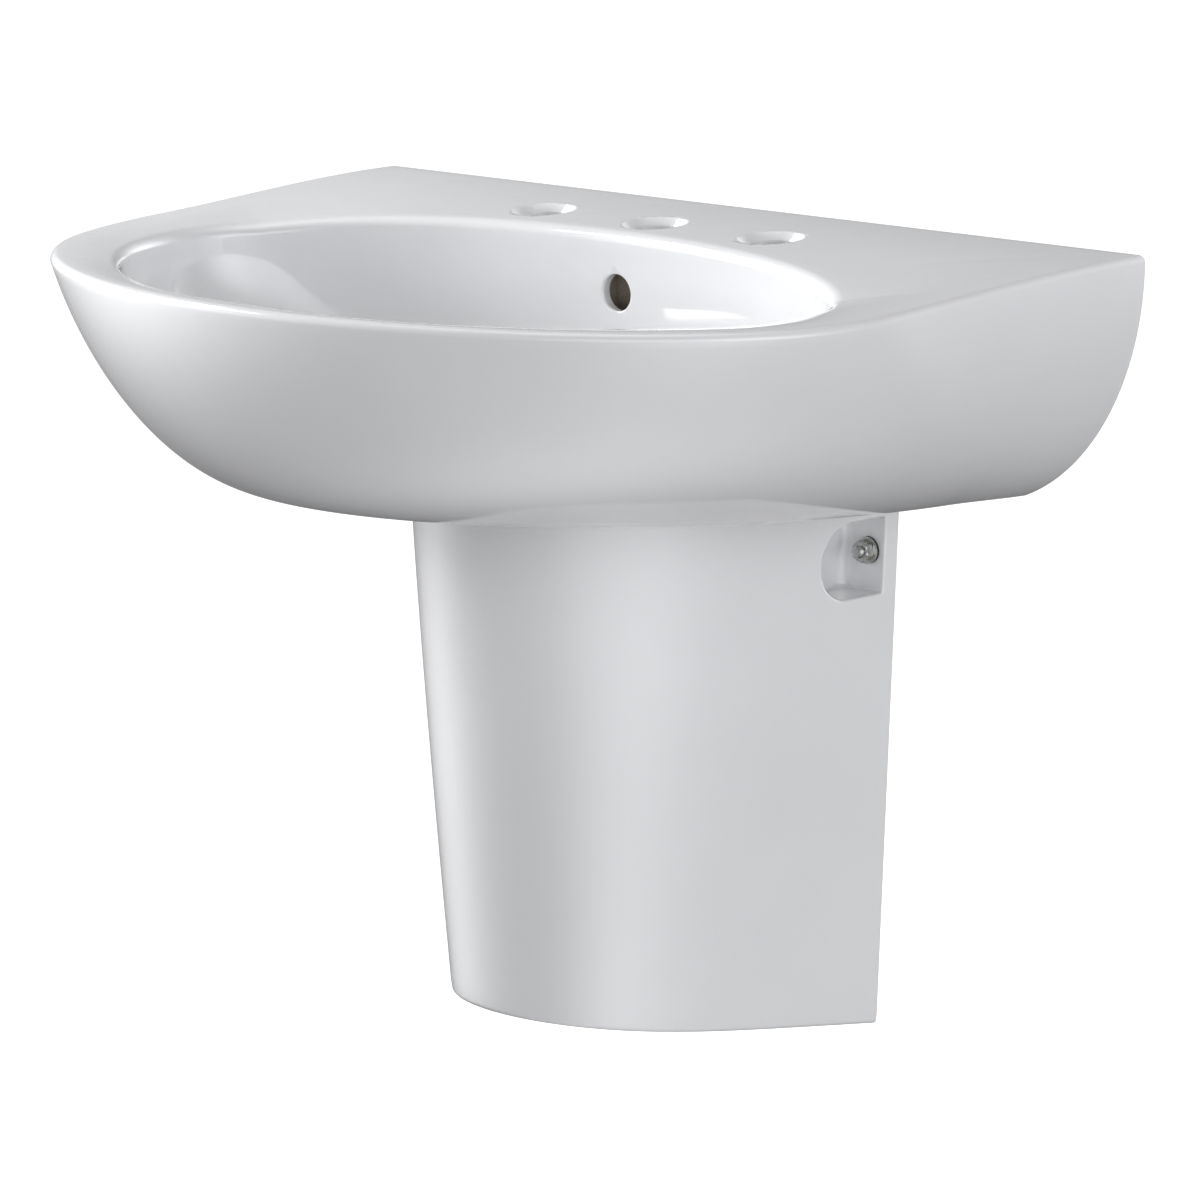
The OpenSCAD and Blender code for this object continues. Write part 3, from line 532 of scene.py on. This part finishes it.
def pocket_tool(sign):
    deepest, steps = POCKET_IN - 0.1 * MM, 24
    depths = [-6 * MM] + [POCKET_FLARE * (1 - math.cos(math.radians(15 * i))) for i in range(7)]
    for i in range(1, steps + 1):
        depths.append(mix(POCKET_FLARE, deepest, math.sin(math.radians(90 * i / steps))))
    return mirrored(mesh_object("tool", grid([pocket_layer(s) for s in depths])), sign)


def mirrored(obj, sign):
    if sign < 0:
        obj.data.transform(Matrix.Scale(-1, 4, (1, 0, 0)))
        obj.data.flip_normals()
    return obj


def shroud():
    soft, past = SHROUD_SOFT, 6 * MM
    quarter = [math.radians(90 * i / 6) for i in range(7)]
    rings = [shroud_ring(0, soft * (1 - math.sin(a)), 0, -soft * (1 - math.cos(a))) for a in quarter]
    rings += [shroud_ring(f, 0, 0) for f in np.linspace(0.02, 0.98, 56)]
    rings += [shroud_ring(1, soft * (1 - math.cos(a)), 0, soft * (1 - math.sin(a))) for a in quarter]
    obj = mesh_object("shroud_glazed", grid(rings))
    inner = [shroud_ring(0, SHROUD_SKIN - soft, past, 2 * past)]
    for a in quarter:
        inner.append(shroud_ring(0, SHROUD_SKIN - soft * (1 - math.sin(a)), past, -soft * math.sin(a)))
    inner += [shroud_ring(f, SHROUD_SKIN, past) for f in np.linspace(0.05, 0.95, 20)]
    for a in quarter:
        inner.append(shroud_ring(1, SHROUD_SKIN - soft * (1 - math.cos(a)), past, soft * (1 - math.sin(a))))
    inner += [shroud_ring(1, SHROUD_SKIN - soft, past, -2 * past)]
    core = mesh_object("tool", grid(inner))
    low = DECK - SHROUD_BOTTOM - past
    block_x, block_y = SIDE_X - POCKET_IN - SHROUD_SKIN, -BEARING_T - POCKET_RUN - SHROUD_SKIN
    block_low, block_high = DECK - POCKET_FLOOR - SHROUD_SKIN, DECK - POCKET_TOP + SHROUD_SKIN
    keeps = []
    for sign in (-1, 1):
        x0, x1 = sorted((sign * FLANGE_IN, sign * HALF_W))
        keeps.append(box_tool((x0, -BEARING_T, low), (x1, 4 * past, DECK)))
        x0, x1 = sorted((sign * block_x, sign * HALF_W))
        keeps.append(box_tool((x0, block_y, block_low), (x1, 4 * past, block_high)))
    carve(core, *keeps)
    carve(obj, core, pocket_tool(1), pocket_tool(-1))
    for sign in (-1, 1):
        hole = spun([(STUD_HOLE_R, 2 * MM), (STUD_HOLE_R, -BEARING_T - 2 * MM)], 48)
        carve(obj, mesh_object("tool", turned_to(hole, (sign * STUD_X, 0, STUD_Z), (0, 1, 0))))
    finish_piece(obj, ROOT, ["shroud"], glaze())


# ---------------------------------------------------------------- fasteners

THREAD_SIDES = 40


def stud(d, behind, front, pitch, point, wood):
    """A threaded stud along z, with a point behind z = 0.

    Behind, it has a coarse wood thread if wood is true, or else the same thread as in front.
    """
    cut, relief = 0.55 * pitch, 0.25 * MM
    angle = 2 * np.pi * np.arange(THREAD_SIDES) / THREAD_SIDES
    turn = angle / (2 * np.pi)
    rings = []

    def put(z, r):
        rings.append(np.column_stack([r * np.cos(angle), r * np.sin(angle), np.full(THREAD_SIDES, z)]))

    def crest(z, step):
        return 1 - 2 * np.abs((z / step - turn) % 1 - 0.5)

    rear = 0.36 * d if wood else pitch
    for z in np.arange(-behind, -0.001 * d, rear / 8):
        taper = min(1.0, 0.12 + 0.88 * (z + behind) / point)
        ridge = np.clip(1.6 * crest(z, rear) - 0.6, 0, 1) if wood else crest(z, rear)
        depth = 0.28 * d / 2 if wood else cut
        put(z, taper * (d / 2 - depth * (1 - ridge)))
    thread_r = d / 2 - relief
    for z in np.arange(0, front - 1e-9, pitch / 8):
        chamfer = min(0.0, (front - z) - 0.8 * MM)
        put(z, thread_r - cut * (1 - crest(z, pitch)) + chamfer)
    put(front, np.full(THREAD_SIDES, thread_r - cut - 0.3 * MM))
    return grid(rings)


def hex_nut(across, high, bore, n=96):
    """A chamfered hexagon nut, its bore countersunk at both ends."""
    corner = across / math.sqrt(3)
    flat_r, lead = across / 2 * 0.97, 0.5 * MM
    fall = (corner - flat_r) * 0.55
    profile = [
        (bore, lead), (bore + lead, 0), (flat_r, 0), (corner, fall, 1), (corner, high - fall, 1),
        (flat_r, high), (bore + lead, high), (bore, high - lead),
    ]
    return spun(profile, n, sides=6, looped=True)


def pair(shape, node, axis_x, z, spins=(0.0, 0.0)):
    """The shape on both studs, along -y from the face of the CAD node that is nearest the wall."""
    base_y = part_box(node)[1].y
    out = []
    for sign, spin in zip((-1, 1), spins):
        c, s = math.cos(spin), math.sin(spin)
        turned = np.asarray(shape[0]) @ np.array([[c, s, 0], [-s, c, 0], [0, 0, 1]])
        out.append(turned_to((turned, shape[1]), (sign * axis_x, base_y, z), (0, -1, 0)))
    return together(*out)


def fasteners():
    nut_spins = (0.3, 0.2)  # the nuts stop where they were tightened
    for node, nuts, d, pitch, axis_x, z, point, wood in (
        ("basin_studs", "basin_stud_nuts", BASIN_STUD_D, 1.5 * MM, HANGER_X, 0.0, 15 * MM, True),
        ("shroud_studs", "shroud_nuts", SHROUD_STUD_D, 1.25 * MM, STUD_X, STUD_Z, 3.5 * MM, False),
    ):
        low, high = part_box(node)
        bolt = stud(d, high.y, -low.y, pitch, point, wood)
        bolts = together(*[turned_to(bolt, (s * axis_x, 0, z), (0, -1, 0)) for s in (-1, 1)])
        finish_piece(mesh_object(node + "_threaded", bolts), ROOT, [node], zinc(), 50)
        nut = hex_nut(1.65 * d, 0.8 * d, d / 2 - 0.35 * MM)
        shape = pair(nut, nuts, axis_x, z, nut_spins)
        finish_piece(mesh_object(nuts + "_chamfered", shape), ROOT, [nuts], zinc(), 28)

    basin_washer, shroud_washer, soft = (4.9 * MM, 14 * MM), (3.9 * MM, 9 * MM), 0.25 * MM
    for node, (r_in, r_out), axis_x, z, slot, look in (
        ("basin_stud_washers", basin_washer, HANGER_X, 0.0, "zinc", zinc()),
        ("shroud_washers", shroud_washer, STUD_X, STUD_Z, "zinc", zinc()),
        ("shroud_soft_washers", shroud_washer, STUD_X, STUD_Z, "rubber", rubber()),
    ):
        low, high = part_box(node)
        washer = spun(rounded(r_in, 0, r_out, high.y - low.y, soft), looped=True)
        shape = pair(washer, node, axis_x, z)
        finish_piece(mesh_object(node + "_rounded", shape), ROOT, [node], look)

    node = "basin_stud_bushes"
    low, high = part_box(node)
    r_hole, r_bush, r_flange = 4.9 * MM, 8 * MM, 14 * MM
    length = high.y - low.y
    flange = length - 3 * MM  # where the bush's flange begins
    profile = [(r_hole, 0), (r_bush - 0.4 * MM, 0), (r_bush, 0.4 * MM), (r_bush, flange)]
    profile += [(r_flange - 0.6 * MM, flange), (r_flange, flange + 0.6 * MM)]
    profile += [(r_flange, length - 0.8 * MM), (r_flange - 0.8 * MM, length), (r_hole, length)]
    shape = pair(spun(profile, looped=True), node, HANGER_X, 0.0)
    finish_piece(mesh_object("basin_bushes_moulded", shape), ROOT, [node], plastic())


# ---------------------------------------------------------------- drain, stopper and trap


def drain():
    rise, lip, inner, foot = 1.9, 1.5, 21.6, -16  # the flange's section, in millimetres
    r = FLANGE_R / MM
    profile = [(17, foot), (19, foot), (19, 1.2), (r - 0.6, 1.2), (r, lip)]
    for i in range(1, 9):
        a = math.radians(90 * i / 8)
        profile.append((r - 6 * (1 - math.cos(a)), lip + rise * math.sin(a)))
    profile += [(r - 9, 3.35), (inner, 3.2)]
    for i in range(1, 7):
        a = math.radians(90 * i / 6)
        profile.append((inner - 4.6 * math.sin(a), 3.2 - 2.6 * (1 - math.cos(a))))
    shape = spun([(a * MM, b * MM) for a, b in profile], 144, looped=True)
    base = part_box("drain_flange")[1].z - FLANGE_RISE
    flange = mesh_object("drain_flange_polished", on_axis(shape, -DRAIN_Y, base))
    finish_piece(flange, ROOT, ["drain_flange"], chrome())

    low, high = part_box("stopper_cap")
    cap_r, cap_h, tip, edge, steps = (high.x - low.x) / 2, high.z - low.z, 0.4 * MM, 1.2 * MM, 16
    profile = [(tip, 0), (cap_r - 1.5 * MM, 0), (cap_r - 0.5 * MM, 0.4 * MM), (cap_r, edge)]
    for i in range(1, steps + 1):
        a = math.radians(90 * i / steps)
        dome_r = cap_r * math.cos(a) ** 0.55 if i < steps else tip
        profile.append((dome_r, edge + (cap_h - edge) * math.sin(a) ** 0.9))
    cap = mesh_object("stopper_cap_domed", on_axis(spun(profile[::-1], 144), -DRAIN_Y, low.z))
    finish_piece(cap, STOPPER, ["stopper_cap"], chrome())

    low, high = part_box("drain_gasket")
    h = (high.z - low.z) / MM
    profile = [(20.5, 0.8), (21.3, 0), (28, 0), (29, 1), (29, 3.6), (28.4, 5)]
    profile += [(30.6 - 1.2, h - 1.2), (29, h), (20.5, h)]
    shape = spun([(a * MM, b * MM) for a, b in profile], looped=True)
    gasket = mesh_object("drain_gasket_moulded", on_axis(shape, -DRAIN_Y, low.z))
    finish_piece(gasket, ROOT, ["drain_gasket"], rubber())

    low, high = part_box("drain_locknut")
    shape = hex_nut(54 * MM, high.z - low.z, 20.3 * MM, 144)
    nut = mesh_object("drain_locknut_cast", on_axis(shape, -DRAIN_Y, low.z))
    finish_piece(nut, ROOT, ["drain_locknut"], brass(), 28)

    low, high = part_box("tailpiece")
    r, lip = (high.x - low.x) / 2, 0.5 * MM
    shape = spun(rounded(r - PIPE_WALL, 0, r, high.z - low.z, lip, 3), looped=True)
    tail = mesh_object("tailpiece_drawn", on_axis(shape, -DRAIN_Y, low.z))
    finish_piece(tail, ROOT, ["tailpiece"], chrome())


def slip_nut(node):
    """A slip nut: eight soft flats on a skirt, and a domed shoulder over the washer."""
    low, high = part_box(node)
    r, h = (high.x - low.x) / 2, high.z - low.z
    neck, collar, skirt = 15.95 * MM, COLLAR_R, h - 4 * MM
    profile = [(collar, 0.6 * MM), (19.1 * MM, 0), (r * 0.94, 0), (r, 1.6 * MM, 1), (r, skirt - 2.5 * MM, 1)]
    for i in range(5):
        a = math.radians(90 * i / 4)
        shoulder_r = mix(r * 0.93, 18 * MM, 1 - math.cos(a))
        profile.append((shoulder_r, skirt - 1.2 * MM + 5.2 * MM * math.sin(a)))
    profile += [(neck, h), (neck, h - 3.6 * MM), (collar, h - 4 * MM)]
    centre_y = (low.y + high.y) / 2
    nut = mesh_object(node + "_formed", on_axis(spun(profile, 128, sides=8, looped=True), centre_y, low.z))
    finish_piece(nut, ROOT, [node], chrome(), 28)


def pipe(name, node, path, outer, inner):
    """A tube along a path, from its outer and inner radius at each point."""
    out, back = swept(path, outer), swept(path, inner)
    shape = grid(out + back[::-1], looped=True)
    finish_piece(mesh_object(name, shape), ROOT, [node], chrome())


def trap():
    slip_nut("trap_inlet_nut")
    slip_nut("trap_outlet_nut")
    low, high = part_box("trap_bend")
    bend_r = 38 * MM
    inlet_y, outlet_y = -DRAIN_Y, -DRAIN_Y + 2 * bend_r
    centre_z = low.z + PIPE_R + bend_r
    leg = high.z - centre_z
    # The belled collar of each leg, in millimetres: depth below the top, outer radius, and bore
    drops = np.array([0, 0.4, 2, 10, 18, 19.2, 20.6, 22, leg / MM - 0.5]) * MM
    radii = np.array([17.9, 18.5, 18.5, 18.5, 18.5, 18.2, 17.2, 16.1, 15.875]) * MM
    bores = np.array([16.2, 15.9, 15.9, 15.9, 15.9, 15.4, 14.8, 14.675, 14.675]) * MM
    bend = np.radians(np.linspace(180, 360, 61))
    path = [(0, inlet_y, high.z - d) for d in drops]
    path += [(0, inlet_y + bend_r + bend_r * math.cos(a), centre_z + bend_r * math.sin(a)) for a in bend]
    path += [(0, outlet_y, high.z - d) for d in drops[::-1]]
    plain = np.full(len(bend), PIPE_R)
    outer = np.concatenate([radii, plain, radii[::-1]])
    inner = np.concatenate([bores, plain - PIPE_WALL, bores[::-1]])
    pipe("trap_bend_drawn", "trap_bend", path, outer, inner)

    low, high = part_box("trap_arm")
    elbow_r, arm_z = 30 * MM, high.z - PIPE_R
    centre_y, centre_z = outlet_y + elbow_r, arm_z - elbow_r
    turn = np.radians(np.linspace(180, 90, 31))
    path = [(0, outlet_y, z) for z in np.linspace(low.z, centre_z, 8)[:-1]]
    path += [(0, centre_y + elbow_r * math.cos(a), centre_z + elbow_r * math.sin(a)) for a in turn]
    path += [(0, y, arm_z) for y in np.linspace(centre_y, high.y, 12)[1:]]
    full = np.full(len(path), PIPE_R)
    full[0] = full[-1] = PIPE_R - 0.3 * MM
    pipe("trap_arm_drawn", "trap_arm", path, full, np.full(len(path), PIPE_R - PIPE_WALL))

    low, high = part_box("wall_escutcheon")
    r, hole, edge, shoulder = (high.x - low.x) / 2, 16.975 * MM, 1.5 * MM, 8.6 * MM
    profile = [(hole, 0), (r - 0.5 * MM, 0), (r, 0.6 * MM), (r - 0.4 * MM, edge)]
    for i in range(1, 11):
        t = i / 10
        profile.append((mix(r - 0.4 * MM, hole + 3 * MM, t), mix(edge, shoulder, float(ease(t)) ** 0.8)))
    profile += [(hole + 1.2 * MM, 9 * MM), (hole + 0.3 * MM, shoulder), (hole, 8 * MM)]
    plate = turned_to(spun(profile, 128, looped=True), (0, 0, (low.z + high.z) / 2), (0, -1, 0))
    finish_piece(mesh_object("wall_escutcheon_spun", plate), ROOT, ["wall_escutcheon"], chrome())


# ---------------------------------------------------------------- materials


class Look:
    """A procedural material: a Principled shader, with helpers for noise, bump and blends."""

    def __init__(self, name, **plain):
        self.material = bpy.data.materials.new(name)
        self.material.use_nodes = True
        self.nodes, self.links = self.material.node_tree.nodes, self.material.node_tree.links
        self.shader = self.nodes["Principled BSDF"]
        self.place = self.nodes.new("ShaderNodeTexCoord").outputs["Object"]
        for socket, value in plain.items():
            self.shader.inputs[socket.replace("_", " ")].default_value = value

    def noise(self, scale, detail=3.0, stretch=None):
        place = self.place
        if stretch:
            mapping = self.nodes.new("ShaderNodeMapping")
            mapping.inputs["Scale"].default_value = stretch
            self.links.new(place, mapping.inputs["Vector"])
            place = mapping.outputs["Vector"]
        texture = self.nodes.new("ShaderNodeTexNoise")
        texture.inputs["Scale"].default_value = scale
        texture.inputs["Detail"].default_value = detail
        self.links.new(place, texture.inputs["Vector"])
        return texture.outputs["Fac"]

    def span(self, value, low, high, start=0.35, end=0.65):
        """The value moved from start..end to low..high."""
        node = self.nodes.new("ShaderNodeMapRange")
        for socket, number in (("From Min", start), ("From Max", end), ("To Min", low), ("To Max", high)):
            node.inputs[socket].default_value = number
        self.links.new(value, node.inputs["Value"])
        return node.outputs["Result"]

    def blend(self, share, first, second):
        node = self.nodes.new("ShaderNodeMix")
        node.data_type = "RGBA"
        self.links.new(share, node.inputs["Factor"])
        for value, slot in ((first, 6), (second, 7)):
            if isinstance(value, tuple):
                node.inputs[slot].default_value = (*value, 1)
            else:
                self.links.new(value, node.inputs[slot])
        return node.outputs[2]

    def math(self, kind, first, second=0.0):
        node = self.nodes.new("ShaderNodeMath")
        node.operation = kind
        for value, socket in zip((first, second), node.inputs):
            if isinstance(value, (int, float)):
                socket.default_value = value
            else:
                self.links.new(value, socket)
        return node.outputs[0]

    def bump(self, height, distance, strength=1.0):
        node = self.nodes.new("ShaderNodeBump")
        node.inputs["Distance"].default_value = distance
        node.inputs["Strength"].default_value = strength
        self.links.new(height, node.inputs["Height"])
        self.links.new(node.outputs["Normal"], self.shader.inputs["Normal"])

    def colour(self, output):
        self.links.new(output, self.shader.inputs["Base Color"])

    def rough(self, output):
        self.links.new(output, self.shader.inputs["Roughness"])

    def at(self, axis):
        node = self.nodes.new("ShaderNodeSeparateXYZ")
        self.links.new(self.place, node.inputs[0])
        return node.outputs[axis]


made = {}


def once(build):
    """Each material is made once, however many pieces wear it."""

    def get():
        if build.__name__ not in made:
            made[build.__name__] = build().material
        return made[build.__name__]

    return get


@once
def glaze():
    """White gloss glaze over vitreous china.

    The ground back, on the wall's plane, is bare and matt, and so is the overflow duct's inside, whose bare
    clay is painted far darker than the back's as painted shade.
    """
    look = Look("glazed_china", IOR=1.6, Coat_Weight=0.6, Coat_Roughness=0.03, Coat_IOR=1.6)
    tone = look.span(look.noise(7, 2), 0, 1)
    glazed = look.blend(tone, (0.85, 0.853, 0.86), (0.875, 0.878, 0.885))
    grain = look.span(look.noise(900, 4), 0, 1)
    bare = look.blend(grain, (0.72, 0.70, 0.66), (0.80, 0.78, 0.74))
    back = look.math("GREATER_THAN", look.at("Y"), -0.4 * MM)
    from_middle = look.math("ABSOLUTE", look.math("ADD", look.at("Y"), DUCT_BACK + DUCT_T / 2))
    hidden = look.math("LESS_THAN", from_middle, DUCT_T / 2 + 0.5 * MM)
    in_duct = look.math("LESS_THAN", look.math("ABSOLUTE", look.at("X")), DUCT_W / 2 + 1 * MM)
    below = look.math("LESS_THAN", look.at("Z"), DECK - OVERFLOW_DEPTH + OVERFLOW_R + 4 * MM)
    inside = look.math("MULTIPLY", look.math("MULTIPLY", hidden, in_duct), below)
    # painted shade: the duct's inside gets the bare clay darkened to a dark brown, standing in for the shade
    # deep in the duct
    clay_in_painted_shade = look.blend(grain, (0.30, 0.26, 0.22), (0.40, 0.35, 0.30))
    look.colour(look.blend(back, look.blend(inside, glazed, clay_in_painted_shade), bare))
    gloss, matt = look.span(look.noise(38, 3), 0.055, 0.095), 0.75
    unglazed = look.math("MAXIMUM", back, inside)
    look.rough(look.math("MAXIMUM", gloss, look.math("MULTIPLY", unglazed, matt)))
    look.bump(look.noise(46, 2), 0.00012, 0.55)
    return look


@once
def zinc():
    """Bright zinc plate with a faint yellow and blue cast and fine handling marks."""
    look = Look("zinc_plate", Metallic=1.0)
    look.colour(look.blend(look.span(look.noise(160, 3), 0, 1), (0.50, 0.51, 0.53), (0.66, 0.655, 0.62)))
    look.rough(look.span(look.noise(420, 4), 0.22, 0.42))
    look.bump(look.noise(1800, 3), 0.00003, 0.5)
    return look


@once
def chrome():
    look = Look("chrome_plate", Metallic=1.0)
    look.colour(look.blend(look.span(look.noise(24, 2), 0, 1), (0.78, 0.79, 0.80), (0.86, 0.865, 0.87)))
    look.rough(look.span(look.noise(60, 5), 0.045, 0.12))
    look.bump(look.noise(300, 2), 0.00001, 0.3)
    return look


@once
def brass():
    look = Look("turned_brass", Metallic=1.0)
    look.colour(look.blend(look.span(look.noise(55, 4), 0, 1), (0.52, 0.36, 0.14), (0.74, 0.56, 0.27)))
    look.rough(look.span(look.noise(90, 5, (1, 1, 14)), 0.2, 0.42))
    look.bump(look.noise(160, 2, (0.2, 0.2, 16)), 0.00004, 0.5)
    return look


@once
def rubber():
    look = Look("black_rubber", IOR=1.5)
    look.colour(look.blend(look.span(look.noise(80, 4), 0, 1), (0.018, 0.018, 0.019), (0.045, 0.044, 0.043)))
    look.rough(look.span(look.noise(260, 4), 0.55, 0.8))
    look.bump(look.noise(900, 3), 0.00006, 0.6)
    return look


@once
def plastic():
    look = Look("moulded_nylon", IOR=1.53)
    look.colour(look.blend(look.span(look.noise(60, 3), 0, 1), (0.70, 0.69, 0.65), (0.78, 0.775, 0.745)))
    look.rough(look.span(look.noise(200, 4), 0.34, 0.5))
    look.bump(look.noise(700, 3), 0.00003, 0.5)
    return look


@once
def spring_wire():
    look = Look("drawn_wire", Metallic=1.0)
    look.colour(look.blend(look.span(look.noise(500, 3), 0, 1), (0.36, 0.36, 0.37), (0.55, 0.55, 0.54)))
    look.rough(look.span(look.noise(900, 4), 0.25, 0.45))
    return look


SLOT_LOOKS = {
    "china": glaze, "zinc": zinc, "chrome": chrome, "brass": brass, "rubber": rubber, "plastic": plastic,
    "spring_steel": spring_wire,
}


def finish_piece(obj, body, nodes, material, angle=32):
    """Smooths a piece up to angle, gives it its material, and says what it rides on and replaces."""
    smooth(obj, angle)
    obj.data.materials.clear()
    obj.data.materials.append(material)
    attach(obj, body)
    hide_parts(*nodes)


def dress_nodes():
    """The CAD nodes that stay visible take the finish of their slot in the record."""
    slots = {row["node"]: row["material_slot"] for row in frame["record"]["subparts"]}
    for name, obj in NODES.items():
        if not obj.hide_render:
            obj.data.materials.clear()
            obj.data.materials.append(SLOT_LOOKS[slots[name]]())


# ---------------------------------------------------------------- floor, light and camera

CAMERA_AT, CAMERA_LOOKS_AT = (2.179, -2.374, 0.484), (0.0348, -0.1704, -0.1597)
CAMERA_LENS, CAMERA_SENSOR = 147, 36
KEY_AT, KEY_LOOKS_AT, KEY_SIZE, KEY_POWER = (-2.44, -1.09, 1.4), (0, -0.2, -0.1), (1.1, 1.6), 62
FLOOR_Z = DECK - 0.85  # such a basin's deck is about 0.85 m above the floor
FLOOR_HALF, FLOOR_T, FLOOR_GLOW = 30.0, 0.05, 0.86


def aim(obj, at, target):
    obj.location = at
    obj.rotation_euler = (Vector(target) - Vector(at)).to_track_quat("-Z", "Y").to_euler()


def camera():
    data = bpy.data.cameras.new("camera")
    data.lens, data.sensor_width = CAMERA_LENS, CAMERA_SENSOR
    obj = placed("camera", data)
    aim(obj, CAMERA_AT, CAMERA_LOOKS_AT)
    bpy.context.scene.camera = obj


def key_light():
    data = bpy.data.lights.new("key_left", "AREA")
    data.shape = "RECTANGLE"
    data.size, data.size_y = KEY_SIZE
    data.energy = KEY_POWER
    aim(placed("key_left", data), KEY_AT, KEY_LOOKS_AT)


# Soft light from all round: azimuth (0 from the front, 90 from the right), elevation, strength
SKY = [
    (-60, 8, 1.8), (-80, 8, 2.0), (-115, 8, 0.6), (180, 8, 2.0), (160, 8, 1.1), (80, 8, 2.25), (40, 8, 1.45),
    (60, -35, 1.05), (0, 90, 1.6), (0, -90, 0.9),
]
SKY_TINT = (0.985, 0.988, 1.0, 1)
SKY_EVERYWHERE = 0.2
DISPLAY_GAMMA = 0.77  # the firm contrast of a retouched catalogue picture
LOBE_SHARPNESS = 12


def sky(lobes, everywhere):
    """A world whose light falls off smoothly round each direction, and that the camera sees as white."""
    world = bpy.data.worlds.new("studio")
    world.use_nodes = True
    nodes, links = world.node_tree.nodes, world.node_tree.links
    place = nodes.new("ShaderNodeTexCoord").outputs["Generated"]
    total = None
    for azimuth, elevation, strength in lobes:
        a, e = math.radians(azimuth), math.radians(elevation)
        towards = nodes.new("ShaderNodeVectorMath")
        towards.operation = "DOT_PRODUCT"
        towards.inputs[1].default_value = (math.sin(a) * math.cos(e), -math.cos(a) * math.cos(e), math.sin(e))
        links.new(place, towards.inputs[0])
        value = towards.outputs["Value"]
        for kind, number in (("MAXIMUM", 0), ("POWER", LOBE_SHARPNESS), ("MULTIPLY", strength)):
            step = nodes.new("ShaderNodeMath")
            step.operation = kind
            step.inputs[1].default_value = number
            links.new(value, step.inputs[0])
            value = step.outputs[0]
        add = nodes.new("ShaderNodeMath")
        add.inputs[1].default_value = everywhere
        links.new(value, add.inputs[0])
        if total is not None:
            links.new(total, add.inputs[1])
        total = add.outputs[0]
    ambient = nodes["Background"]
    ambient.inputs["Color"].default_value = SKY_TINT
    links.new(total, ambient.inputs["Strength"])
    seen = nodes.new("ShaderNodeBackground")  # what the camera sees past the floor
    seen.inputs["Color"].default_value = (1, 1, 1, 1)
    choose, path = nodes.new("ShaderNodeMixShader"), nodes.new("ShaderNodeLightPath")
    links.new(path.outputs["Is Camera Ray"], choose.inputs[0])
    links.new(ambient.outputs[0], choose.inputs[1])
    links.new(seen.outputs[0], choose.inputs[2])
    links.new(choose.outputs[0], nodes["World Output"].inputs["Surface"])
    bpy.context.scene.world = world


def studio():
    view = bpy.context.scene.view_settings
    view.view_transform, view.gamma = "Standard", DISPLAY_GAMMA
    sky(SKY, SKY_EVERYWHERE)
    key_light()
    wide, foot = FLOOR_HALF, FLOOR_Z - FLOOR_T
    floor = box_tool((-wide, -wide, foot), (wide, wide, FLOOR_Z))
    floor.name = "floor"
    floor.visible_diffuse = floor.visible_glossy = False  # its glow doesn't light the object
    look = Look("pale_floor", Roughness=0.9, Emission_Color=(1, 1, 1, 1), Emission_Strength=FLOOR_GLOW)
    look.colour(look.blend(look.span(look.noise(1.5, 2), 0, 1), (0.27, 0.27, 0.27), (0.30, 0.30, 0.30)))
    floor.data.materials.append(look.material)


camera()
studio()
basin()
shroud()
fasteners()
drain()
trap()
dress_nodes()
